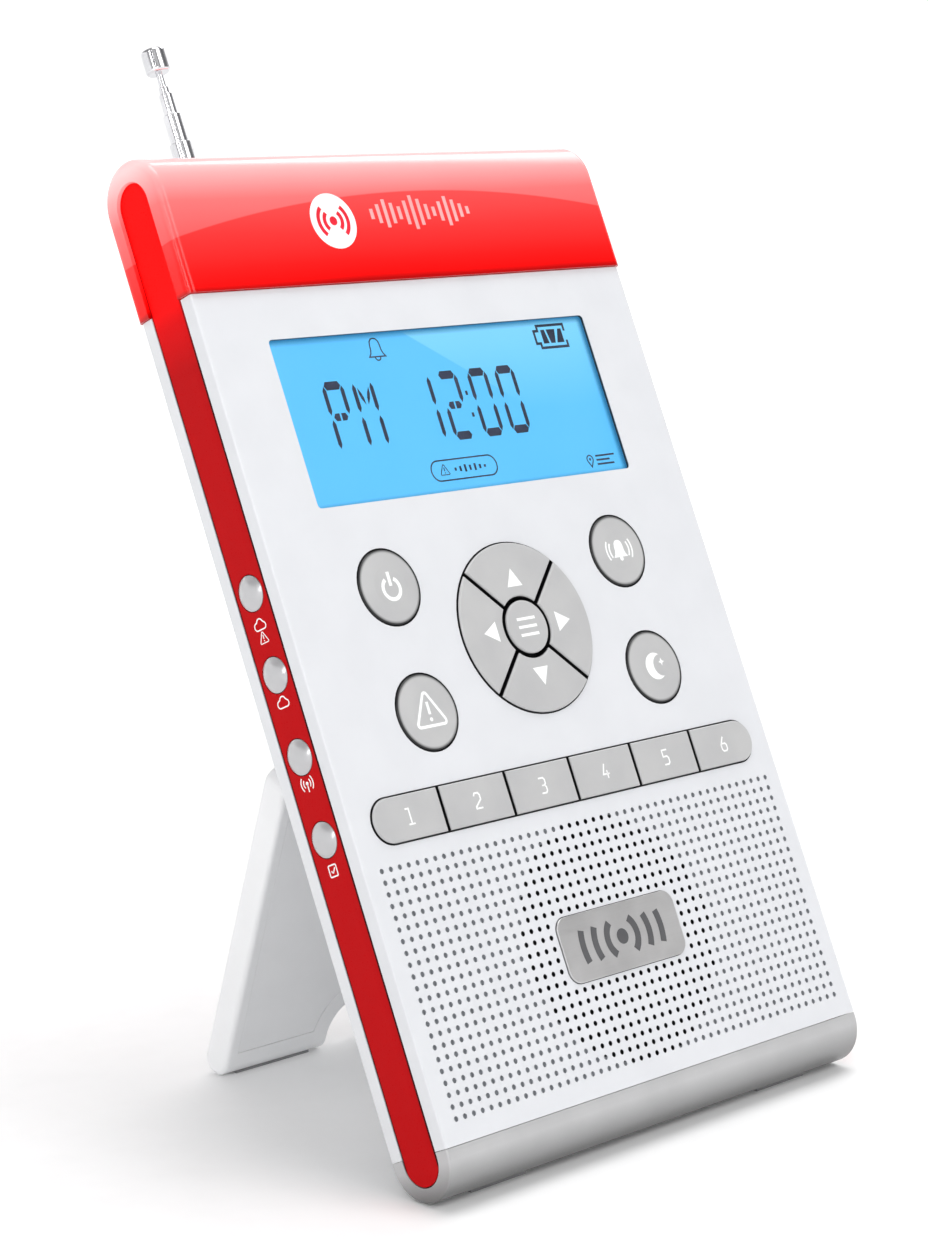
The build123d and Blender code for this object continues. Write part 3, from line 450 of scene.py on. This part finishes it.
# painted reflection in the display's paler corner, and painted shade round its rim
GLARE_WAY = (0.529, 0.849)     # right and up, square to the edge of the painted glare in the paler corner
GLARE_POINT = (-9.1 * MM, 19.2 * MM)
GLARE_FADE = (-2 * MM, 22 * MM)
UNSHADED_HALF_WIDTH = 47.7 * MM
UNSHADED_TOP = 18.1 * MM
UNSHADED_FOOT = 18.3 * MM
RIM_SHADE_SOFT = 0.7 * MM


def lit_display(name):
    """Blue backlit glass, with painted shade darkening its rim and a painted reflection making it paler above
    a slanting line.
    """
    material, net, shader, coords = new_material(name)
    (x0, x1), (u0, u1), _ = spans("display_glass")
    xc, uc = (x0 + x1) / 2, (u0 + u1) / 2
    cloud = noise(net, coords, 35.0, 1.0)
    blue = ramp(net, cloud.outputs["Fac"], ((0.3, (0.122, 0.575, 1.0)), (0.7, (0.135, 0.59, 1.0))))
    slant = RIGHT * GLARE_WAY[0] + UP * GLARE_WAY[1]
    line = (xc + GLARE_POINT[0]) * GLARE_WAY[0] + (uc + GLARE_POINT[1]) * GLARE_WAY[1]
    over = along(net, coords, slant, line - 0.05 * MM, line + 0.1 * MM)
    fade = along(net, coords, UP, uc + GLARE_FADE[0], uc + GLARE_FADE[1])
    glare = calc(net, "MULTIPLY", over, fade)
    # painted reflection: paler blue above the slanting line
    paler = mixed(net, glare, blue, (0.27, 0.74, 1.0))
    sides = inside(net, coords, RIGHT, xc - UNSHADED_HALF_WIDTH, xc + UNSHADED_HALF_WIDTH, RIM_SHADE_SOFT)
    ends = inside(net, coords, UP, uc - UNSHADED_FOOT, uc + UNSHADED_TOP, RIM_SHADE_SOFT)
    # painted shade: darker blue round the rim
    colour = mixed(net, calc(net, "MULTIPLY", sides, ends), (0.03, 0.2, 0.42), paler)
    net.links.new(colour, shader.inputs["Emission Color"])
    # the painted reflection reaches the base colour too
    net.links.new(mixed(net, glare, (0.02, 0.09, 0.16), (0.03, 0.1, 0.17)), shader.inputs["Base Color"])
    shader.inputs["Emission Strength"].default_value = 0.93
    shader.inputs["Roughness"].default_value = 0.4
    fine = noise(net, coords, 5000.0, 1.0)
    bump(net, fine.outputs["Fac"], shader, 0.001 * MM)
    return material


def clear_pane(name):
    """Clear polished window."""
    material, net, shader, coords = new_material(name)
    shader.inputs["Base Color"].default_value = (0.93, 0.98, 1.0, 1.0)
    shader.inputs["Transmission Weight"].default_value = 1.0
    shader.inputs["IOR"].default_value = 1.25
    smear = noise(net, coords, 45.0, 5.0)
    net.links.new(to_range(net, smear.outputs["Fac"], 0.0, 0.03), shader.inputs["Roughness"])
    return material


def brushed(name, light, dark, rough, axis):
    """Brushed or drawn metal with fine lines along one axis."""
    stretch = [60.0, 60.0, 60.0]
    stretch[axis] = 1.0
    return moulded(name, light, dark, rough, 60.0, 0.003 * MM, 0.0, 1.0, tuple(stretch))


def woven(name):
    """Black dust cloth with a fine weave."""
    material, net, shader, coords = new_material(name)
    wave = net.nodes.new("ShaderNodeTexWave")
    wave.inputs["Scale"].default_value = 900.0
    net.links.new(coords.outputs["Object"], wave.inputs["Vector"])
    weave = ramp(net, wave.outputs["Fac"], ((0.2, (0.004, 0.004, 0.004)), (0.8, (0.012, 0.012, 0.012))))
    net.links.new(weave, shader.inputs["Base Color"])
    shader.inputs["Roughness"].default_value = 0.95
    bump(net, wave.outputs["Fac"], shader, 0.05 * MM)
    return material


SATIN = (0.32, 0.42)           # roughness, glossiest and dullest spots
LOOKS = {                      # light and dark colour, roughness, grain, its depth, coat, metal
    "white_satin": ((0.70, 0.71, 0.73), (0.68, 0.69, 0.71), SATIN, GRAIN, GRAIN_DEPTH, 0.15),
    "silver_paint": ((0.52, 0.52, 0.525), (0.49, 0.49, 0.495), SATIN, 4200.0, 0.003 * MM, 0.25, 0.55),
    "key_grey": ((0.475, 0.475, 0.475), (0.44, 0.44, 0.445), (0.36, 0.5), 3200.0, GRAIN_DEPTH, 0.1),
    "steel": ((0.55, 0.55, 0.57), (0.42, 0.42, 0.44), (0.25, 0.4), 1500.0, GRAIN_DEPTH, 0.0, 1.0),
    "nickel": ((0.72, 0.69, 0.62), (0.6, 0.57, 0.5), (0.2, 0.35), 1500.0, GRAIN_DEPTH, 0.0, 1.0),
    "black_plastic": ((0.03, 0.03, 0.032), (0.018, 0.018, 0.02), (0.35, 0.5)),
    "circuit_green": ((0.02, 0.16, 0.06), (0.012, 0.1, 0.04), (0.25, 0.4), 700.0),
    "silicone": ((0.012, 0.012, 0.013), (0.007, 0.007, 0.008), (0.6, 0.75)),
    "dark_rubber": ((0.26, 0.26, 0.265), (0.21, 0.21, 0.215), (0.7, 0.85), 1800.0, 0.02 * MM),
    "paper_cone": ((0.03, 0.03, 0.03), (0.012, 0.012, 0.012), (0.8, 0.95), 1200.0, 0.05 * MM),
    "ferrite": ((0.06, 0.06, 0.065), (0.035, 0.035, 0.04), (0.5, 0.7), 1500.0, 0.02 * MM),
    "cell_jacket": ((0.05, 0.07, 0.12), (0.03, 0.04, 0.08), (0.25, 0.35), GRAIN, GRAIN_DEPTH, 0.4),
    "lamp": ((0.9, 0.1, 0.08), (0.7, 0.05, 0.05), (0.1, 0.2), GRAIN, GRAIN_DEPTH, 0.6),
}
BRUSHED = {                    # light and dark colour, roughness, axis of the lines
    "badge_metal": ((0.58, 0.575, 0.575), (0.50, 0.495, 0.495), (0.28, 0.45), 0),
    "chrome": ((0.82, 0.82, 0.84), (0.70, 0.70, 0.72), (0.08, 0.2), 2),
    "copper": ((0.75, 0.36, 0.17), (0.5, 0.22, 0.1), (0.25, 0.4), 1),
}
MATERIALS = {name: moulded(name, *look) for name, look in LOOKS.items()}
MATERIALS.update({name: brushed(name, *look) for name, look in BRUSHED.items()})
MATERIALS.update({
    "red_lens": lens_with_painted_light("red_lens"),
    "red_gloss": red_strip("red_gloss"),
    "clear_pane": clear_pane("clear_pane"),
    "display_glass": lit_display("display_glass"),
    "backlight": lit_display("backlight"),
    "cloth": woven("cloth"),
})
PRINT_WHITE = moulded("print_white", (0.92, 0.92, 0.92), (0.86, 0.86, 0.86), (0.4, 0.5))
PRINT_PINK = moulded("print_pink", (0.86, 0.42, 0.42), (0.80, 0.36, 0.36), (0.35, 0.45))
PRINT_RED = moulded("print_red", (0.80, 0.005, 0.03), (0.70, 0.004, 0.02), (0.35, 0.45))
PRINT_DARK = moulded("print_dark", (0.085, 0.085, 0.09), (0.06, 0.06, 0.065), (0.4, 0.5))
SEGMENT = moulded("display_segment", (0.055, 0.055, 0.1), (0.04, 0.04, 0.075), (0.4, 0.5))


BASE_SHADE = (4.5 * MM, 0.5 * MM)        # painted shade starts below the top and is full above the bottom


def shaded_base(material):
    """Silver with painted shade that turns it darker round the underside of the base cap."""
    net = material.node_tree
    coords = net.nodes["Texture Coordinate"]
    _, (low, high), _ = spans("base_cap")
    darkened(material, along(net, coords, UP, high - BASE_SHADE[0], low + BASE_SHADE[1]),
             (0.17, 0.17, 0.17))


def dress_nodes():
    """Give every CAD node its procedural material; a few nodes have one of their own."""
    side_grey = moulded("key_grey_side", (0.50, 0.50, 0.51), (0.48, 0.48, 0.49), (0.2, 0.24), 900.0,
                        0.0005 * MM, 0.6, 0.35)
    face_white = moulded("white_satin_front", (0.69, 0.70, 0.725), (0.67, 0.68, 0.705), SATIN, coat=0.15)
    # painted light: the stand gets a lighter copy of the casing's white
    stand_white_painted_lighter = moulded("white_satin_stand_painted_lighter", (0.84, 0.845, 0.855), (0.82, 0.825, 0.835), SATIN, coat=0.15)
    # painted shade in the front shell's openings
    shadowed_openings(face_white)
    shaded_base(MATERIALS["silver_paint"])
    # painted shade on the front keys' sides
    painted_key_side_shade(MATERIALS["key_grey"])
    for part in frame["record"]["subparts"]:
        node = frame["nodes"][part["node"]]
        material = MATERIALS[part["material_slot"]]
        if part["node"] == "front_shell":
            material = face_white
        if part["node"].startswith("kickstand") and part["material_slot"] == "white_satin":
            material = stand_white_painted_lighter
        if part["node"].startswith(("side_key", "volume_")):
            material = side_grey
        node.data.materials.clear()
        node.data.materials.append(material)


# ------------------------------------------------------------------ key signs
def power_sign():
    """Broken ring with a stroke at the top."""
    return [ribbon(arc(0, -0.5, 2.35, 120, 420, 36), 0.85), ribbon([(0, 0.1), (0, 3.2)], 0.85)]


def bell_outline(size):
    """Outline of a bell about the origin."""
    right = [(0.0, 1.0), (0.28, 0.95), (0.5, 0.72), (0.58, 0.35), (0.6, -0.05), (0.72, -0.4), (0.95, -0.68)]
    left = [(-x, y) for x, y in reversed(right[1:])]
    return [(x * size, y * size) for x, y in left + right]


def siren_sign():
    """Ringing bell with waves on both sides."""
    shapes = [filled(bell_outline(2.4)), disc(0, -2.0, 0.55, 20)]
    for side in (0, 180):
        for r in (3.1, 4.1):
            shapes.append(ribbon(arc(0, 0.1, r, side - 32, side + 32, 16), 0.42))
    return shapes


def alert_sign():
    """Warning triangle with a mark inside."""
    outline = []
    for i in range(3):
        way = 90 + 120 * i
        x, y = 3.0 * cos(radians(way)), 3.0 * sin(radians(way)) - 0.4
        outline += arc(x, y, 0.5, way - 60, way + 60, 6)
    return [ribbon(outline, 0.5, closed=True), ribbon([(0, 1.6), (0, -0.5)], 0.55),
            disc(0, -1.35, 0.34, 16)]


def moon_sign():
    """Crescent moon with a small star."""
    outer = arc(0, 0, 2.5, 53.13, 306.87, 30)
    inner = arc(1.5, 0, 2.0, 265, 95, 24)
    star = []
    for i in range(8):
        r = 0.75 if i % 2 == 0 else 0.3
        a = radians(90 + 45 * i)
        star.append((1.7 + r * cos(a), 0.6 + r * sin(a)))
    return [filled(outer + inner), filled(star)]


def menu_sign():
    """Three short lines."""
    return [ribbon([(-2.3, y), (2.3, y)], 0.55) for y in (-1.5, 0, 1.5)]


def arrow_sign():
    """Triangle that points up."""
    return [filled([(-2.3, -1.9), (2.3, -1.9), (0, 2.2)])]


DIGITS = {
    "1": [[(-0.35, 1), (0.05, 1), (0.05, 0)], [(-0.3, 0), (0.4, 0)]],
    "2": [[(-0.35, 0.82), (-0.2, 1), (0.2, 1), (0.35, 0.85), (0.35, 0.55), (-0.35, 0.12), (-0.35, 0),
           (0.38, 0)]],
    "3": [[(-0.35, 1), (0.2, 1), (0.35, 0.87), (0.35, 0.62), (0.2, 0.5), (0.35, 0.38), (0.35, 0.13), (0.2, 0),
           (-0.35, 0)], [(-0.12, 0.5), (0.22, 0.5)]],
    "4": [[(0.0, 1), (-0.38, 0.3), (0.4, 0.3)], [(0.15, 0.55), (0.15, 0)]],
    "5": [[(0.35, 1), (-0.3, 1), (-0.3, 0.55), (0.2, 0.55), (0.35, 0.42), (0.35, 0.13), (0.2, 0),
           (-0.35, 0)]],
    "6": [[(0.1, 1), (-0.35, 0.45), (-0.35, 0.13), (-0.2, 0), (0.2, 0), (0.35, 0.13), (0.35, 0.4),
           (0.2, 0.52), (-0.3, 0.52)]],
}


def digit_sign(digit, height=3.3, width=0.36):
    """Thin-line numeral centred on the origin."""
    lines = []
    for line in DIGITS[digit]:
        points = [(x * height * 0.75, (y - 0.5) * height) for x, y in line]
        lines.append(ribbon(points, width))
    return lines


END_PRESETS = {                # the round-ended keys' digits keep the pitch of the next two keys
    "preset_key_1": ("preset_key_2", "preset_key_3"),
    "preset_key_6": ("preset_key_5", "preset_key_4"),
}


def key_signs():
    """White signs on the front keys."""
    signs = {"power_key": power_sign(), "siren_key": siren_sign(),
             "alert_key": shifted(alert_sign(), 0, 0, 1.3),
             "snooze_key": shifted(moon_sign(), 0, 0, 1.25),
             "menu_key": shifted(menu_sign(), 0, 0, 1.2)}
    for index in range(1, 7):
        signs["preset_key_" + str(index)] = digit_sign(str(index))
    for key, shapes in signs.items():
        x, u = centre(key)
        curved = key in ("power_key", "siren_key", "alert_key", "snooze_key")
        if key in END_PRESETS:
            near, next_one = [centre(other)[0] for other in END_PRESETS[key]]
            x = 2 * near - next_one
        print_on("print_" + key, shapes, key, key, PRINT_WHITE, (x, u, spans(key)[2][0]),
                 curved=curved)


ARROW_REACH = 11.1 * MM        # from the menu key's middle to an arrow


def arrow_signs():
    """White arrows on the four ring keys."""
    x0, u0 = centre("menu_key")
    for name, turn in (("up", 0), ("left", 90), ("down", 180), ("right", 270)):
        key = "nav_" + name + "_key"
        c, s = cos(radians(turn)), sin(radians(turn))
        verts, faces = arrow_sign()[0]
        turned = [(x * c - y * s, x * s + y * c) for x, y in verts]
        place = (x0 - s * ARROW_REACH, u0 + c * ARROW_REACH, spans(key)[2][0])
        print_on("print_" + key, [(turned, faces)], key, key, PRINT_WHITE, place)


# ------------------------------------------------------------------ display
FLAT_BAR = 1.9                 # thickness of a level segment
TALL_BAR = 1.05                # width of an upright segment
DIGIT_TOP = 8.0
DIGIT_HALF = 2.55


def display_character(strokes):
    """Segments of one character: a to g, the second middle half h and the small diagonals i and j."""
    half = DIGIT_HALF
    edge = DIGIT_TOP - FLAT_BAR / 2
    high, low = DIGIT_TOP - 1.0, 0.5
    middle = half - 0.55
    bars = {
        "a": pointed_bar((-half + 0.2, edge), (half - 0.2, edge), FLAT_BAR, 0.6),
        "d": pointed_bar((-half + 0.2, -edge), (half - 0.2, -edge), FLAT_BAR, 0.6),
        "f": pointed_bar((-half, high), (-half, low), TALL_BAR, 1.0),
        "b": pointed_bar((half, high), (half, low), TALL_BAR, 1.0),
        "e": pointed_bar((-half, -low), (-half, -high), TALL_BAR, 1.0),
        "c": pointed_bar((half, -low), (half, -high), TALL_BAR, 1.0),
        "g": filled([(-middle, 0), (-middle + 0.55, 0.85), (-0.25, 0.85), (-0.25, -0.85),
                     (-middle + 0.55, -0.85)]),
        "h": filled([(middle, 0), (middle - 0.55, 0.85), (0.25, 0.85), (0.25, -0.85),
                     (middle - 0.55, -0.85)]),
        "i": pointed_bar((-half + 0.9, high - 0.9), (-0.35, low + 1.6), 0.75, 1.5),
        "j": pointed_bar((half - 0.9, high - 0.9), (0.35, low + 1.6), 0.75, 1.5),
    }
    return [bars[stroke] for stroke in strokes]


CLOCK = (("abfegh", -32.8), ("fbecij", -24.3), ("bc", -7.2), ("abghed", 1.15), ("abcdef", 10.45),
         ("abcdef", 19.05))    # segments of each character and its place


def display_signs():
    """Clock, battery, bell, alert frame and place marker on the display."""
    x, u = centre("display_glass")
    shapes = []
    for strokes, at in CLOCK:
        shapes += shifted(display_character(strokes), at, 0.9)
    for at in (3.4, -1.7):
        shapes.append(filled([(5.3, at - 0.5), (6.0, at - 0.5), (6.0, at + 0.5), (5.3, at + 0.5)]))
    bell = [ribbon(bell_outline(2.5), 0.32, closed=True), ribbon(arc(0, -1.75, 0.8, 180, 360, 10), 0.32)]
    shapes += shifted(bell, -17.2, 15.2)
    shapes += battery_sign()
    shapes += pill_sign()
    shapes += marker_sign()
    depth = spans("display_glass")[2][0]
    print_on("display_marks", shapes, "display_glass", "casing", SEGMENT, (x, u, depth))


def battery_sign():
    """Battery with three charge blocks."""
    line = 0.62
    case = [(42.2, 13.6), (42.2, 12.1), (33.6, 12.1), (33.6, 13.2), (32.3, 13.2), (32.3, 16.2), (33.6, 16.2),
            (33.6, 17.4), (42.2, 17.4), (42.2, 15.8)]
    blocks = [[(34.6, 13.1), (36.4, 13.1), (35.8, 16.4), (34.6, 16.4)],
              [(37.0, 13.1), (38.4, 13.1), (39.2, 16.4), (36.4, 16.4)],
              [(39.0, 13.1), (41.3, 13.1), (41.3, 16.4), (40.2, 16.4)]]
    return [ribbon(case, line)] + [filled(block) for block in blocks]


def pill_sign():
    """Rounded frame with a warning triangle and a level row."""
    frame_line = [(x - 1.9, y - 13.5) for x, y in rounded_box(20.0, 4.6, 2.25)]
    shapes = [ribbon(frame_line, 0.34, closed=True)]
    shapes += shifted(alert_sign(), -8.0, -13.5, 0.42)
    for i in range(7):
        height = (0.7, 1.2, 1.7, 1.2, 1.6, 1.0, 0.6)[i]
        at = -4.6 + i * 1.5
        shapes.append(ribbon([(at, -13.5 - height / 2), (at, -13.5 + height / 2)], 0.6))
    return shapes


def marker_sign():
    """Place marker beside three lines."""
    drop = arc(0, 0.35, 0.95, -35, 215, 20) + [(0, -1.5)]
    shapes = [ribbon([(x + 37.6, y - 15.5) for x, y in drop], 0.3, closed=True)]
    shapes.append(disc(37.6, -15.15, 0.32, 14))
    for i, length in enumerate((6.2, 4.4, 5.6)):
        y = -14.5 - i * 1.0
        shapes.append(ribbon([(39.6, y), (39.6 + length, y)], 0.42))
    return shapes


# ------------------------------------------------------------------ cap, badge and side
SIGN_RISE = 14.1 * MM          # above the cap's lower edge
LEVELS_RISE = 1.2 * MM         # above the disc's middle
DISC_X = -20.3                 # these are in mm from the middle of the cap
LEVELS_X = -8.4
LEVELS_PITCH = 2.1
LEVELS = (2.4, 4.4, 6.6, 4.8, 3.0, 5.6, 8.0, 6.2, 3.6, 2.2, 4.6, 7.0, 5.2, 3.2, 1.8)


def cap_signs():
    """White disc with a broadcast sign, and a level row beside it."""
    _, (low, _), (front, _) = spans("alert_lens")
    u = low + SIGN_RISE
    print_on("cap_disc", [disc(DISC_X, 0, 6.4, 64)], "alert_lens", "casing", PRINT_WHITE,
             (0.0, u, front))
    sign = [disc(0, 0, 1.05, 24)]
    for side in (0, 180):
        for r in (2.5, 4.2):
            sign.append(ribbon(arc(0, 0, r, side - 48, side + 48, 20), 0.95))
    print_on("cap_sign", shifted(sign, DISC_X, 0), "alert_lens", "casing", PRINT_RED,
             (0.0, u, front), lift=2.2 * PRINT_LIFT)
    bars = []
    for i, height in enumerate(LEVELS):
        at = LEVELS_X + i * LEVELS_PITCH
        bars.append(ribbon([(at, -height / 2), (at, height / 2)], 1.0))
    print_on("cap_levels", bars, "alert_lens", "casing", PRINT_PINK,
             (0.0, u + LEVELS_RISE, front))


def badge_sign():
    """Dark broadcast sign on the badge."""
    x, u = centre("badge")
    shapes = [disc(0, 0, 1.7, 32)]
    for r in (4.6, 8.4, 12.2):
        spread = degrees(asin(min(1.0, 3.5 / r)))
        for side in (0, 180):
            shapes.append(ribbon(arc(0, 0, r, side - spread, side + spread, 18), 1.7))
    print_on("badge_sign", shapes, "badge", "casing", PRINT_DARK,
             (x, u, spans("badge")[2][0]))


def cloud_outline():
    """Small cloud."""
    return (arc(-1.0, 0.0, 0.8, 110, 270, 10) + arc(1.1, -0.1, 0.7, 270, 430, 10)
            + arc(0.1, 0.55, 0.95, 20, 160, 12))


def side_signs():
    """Small white signs under the four keys of the left strip."""
    cloud = ribbon(cloud_outline(), 0.28, closed=True)
    signs = {
        "side_key_1": [cloud] + shifted(alert_sign(), 0, -2.6, 0.42),
        "side_key_2": [cloud],
        "side_key_3": [ribbon([(0, -1.3), (0, 0.3)], 0.3), disc(0, 0.5, 0.4, 16)]
        + [ribbon(arc(0, 0.5, r, side - 45, side + 45, 12), 0.28) for r in (1.1, 1.9) for side in (0, 180)],
        "side_key_4": [ribbon(rounded_box(2.4, 2.4, 0.3, 4), 0.3, closed=True),
                       ribbon([(-0.55, 0), (-0.1, -0.5)], 0.3), ribbon([(-0.1, -0.5), (0.75, 0.6)], 0.3)],
    }
    drops = {"side_key_1": 7.0, "side_key_2": 6.1, "side_key_3": 6.1, "side_key_4": 6.5}
    x0 = spans("left_side_strip")[0][0]
    for key, shapes in signs.items():
        _, (u0, u1), (d0, d1) = spans(key)
        place = (-(d0 + d1) / 2, (u0 + u1) / 2 - drops[key] * MM, x0)
        print_on("print_" + key, shapes, "left_side_strip", "casing", PRINT_WHITE, place,
                 right=-INTO, into=RIGHT)


# ------------------------------------------------------------------ stage
FLOOR_INNER = 0.5              # metres
FLOOR_FLAT = 1.6
FLOOR_RIM = 0.9                # radius of the curved rim
FLOOR_SIDES = 64


def stage():
    """Pale round floor whose rim curves up far from the object."""
    mesh = bpy.data.meshes.new("floor")
    bm = bmesh.new()
    profile = [(FLOOR_INNER, 0.0), (FLOOR_FLAT, 0.0)]
    profile += [(FLOOR_FLAT + FLOOR_RIM * sin(radians(a)), FLOOR_RIM * (1 - cos(radians(a))))
                for a in range(10, 91, 10)]
    rows = []
    for r, z in profile:
        rows.append([bm.verts.new((r * cos(2 * pi * i / FLOOR_SIDES), r * sin(2 * pi * i / FLOOR_SIDES), z))
                     for i in range(FLOOR_SIDES)])
    hub = bm.verts.new((0, 0, 0))
    for i in range(FLOOR_SIDES):
        j = (i + 1) % FLOOR_SIDES
        bm.faces.new((hub, rows[0][i], rows[0][j]))
        for a, b in zip(rows, rows[1:]):
            bm.faces.new((a[i], b[i], b[j], a[j]))
    for face in bm.faces:
        face.smooth = True
    bm.to_mesh(mesh)
    bm.free()
    paint = moulded("floor_paint", (0.92, 0.92, 0.92), (0.9, 0.9, 0.9), (0.6, 0.7), 300.0)
    net = paint.node_tree
    shader = net.nodes["Principled BSDF"]
    reach = net.nodes.new("ShaderNodeVectorMath")
    reach.operation = "LENGTH"
    net.links.new(net.nodes["Texture Coordinate"].outputs["Object"], reach.inputs[0])
    glow = ramp(net, reach.outputs["Value"], ((0.25, (0.03, 0.03, 0.03)), (0.9, (0.4, 0.4, 0.4))))
    net.links.new(glow, shader.inputs["Emission Color"])
    shader.inputs["Emission Strength"].default_value = 1.0
    mesh.materials.append(paint)
    add_object("floor", mesh)


SOFT_BOXES = (                 # name, place, target, size in metres, watts
    ("key_light", (-1.05, -0.85, 0.85), (0, 0, 0.1), (0.5, 0.4), 4.5),
    ("top_light", (0.15, 0.0, 1.6), (0, 0, 0.1), (0.8, 0.8), 11.0),
    ("front_light", (0.3, -1.3, 1.3), (0, 0, 0.1), (0.8, 0.6), 5.5),
    ("rim_light", (1.0, 0.35, 1.0), (0, 0, 0.15), (0.9, 0.3), 3.5),
    ("side_light", (-1.5, -0.25, 0.65), (0, 0, 0.1), (0.18, 0.9), 3.0),
)


def area(name, place, target, size, power):
    """Soft rectangular light aimed at a point."""
    light = bpy.data.lights.new(name, "AREA")
    light.shape = "RECTANGLE"
    light.size, light.size_y = size
    light.energy = power
    lamp = add_object(name, light)
    lamp.location = place
    lamp.rotation_euler = (Vector(target) - Vector(place)).to_track_quat("-Z", "Y").to_euler()


def lights():
    """Soft surroundings with brighter and darker sides, and the soft boxes."""
    world = bpy.data.worlds.new("studio")
    world.use_nodes = True
    net = world.node_tree
    background = net.nodes["Background"]
    coords = net.nodes.new("ShaderNodeTexCoord")
    wave = net.nodes.new("ShaderNodeTexWave")
    wave.bands_direction = "X"
    wave.inputs["Scale"].default_value = 0.42
    net.links.new(coords.outputs["Generated"], wave.inputs["Vector"])
    net.links.new(ramp(net, wave.outputs["Fac"], ((0.1, (0.25, 0.25, 0.26)), (0.9, (1.0, 1.0, 1.0)))),
                    background.inputs["Color"])
    background.inputs["Strength"].default_value = 0.62
    bpy.context.scene.world = world
    for name, place, target, size, power in SOFT_BOXES:
        area(name, place, target, size, power)


def camera():
    """Camera low on the front left, looking slightly down."""
    ahead = Vector((0.69377, 0.69813, -0.17693))
    data = bpy.data.cameras.new("camera")
    data.sensor_fit = "VERTICAL"
    data.sensor_height = 36.0
    data.lens = 88.83
    rig = add_object("camera", data)
    rig.location = Vector((-0.47564, -0.47923, 0.22387))
    rig.rotation_euler = ahead.to_track_quat("-Z", "Y").to_euler()
    bpy.context.scene.camera = rig
    bpy.context.scene.view_settings.view_transform = "Standard"


dress_nodes()
key_signs()
arrow_signs()
display_signs()
cap_signs()
badge_sign()
side_signs()
stage()
lights()
camera()
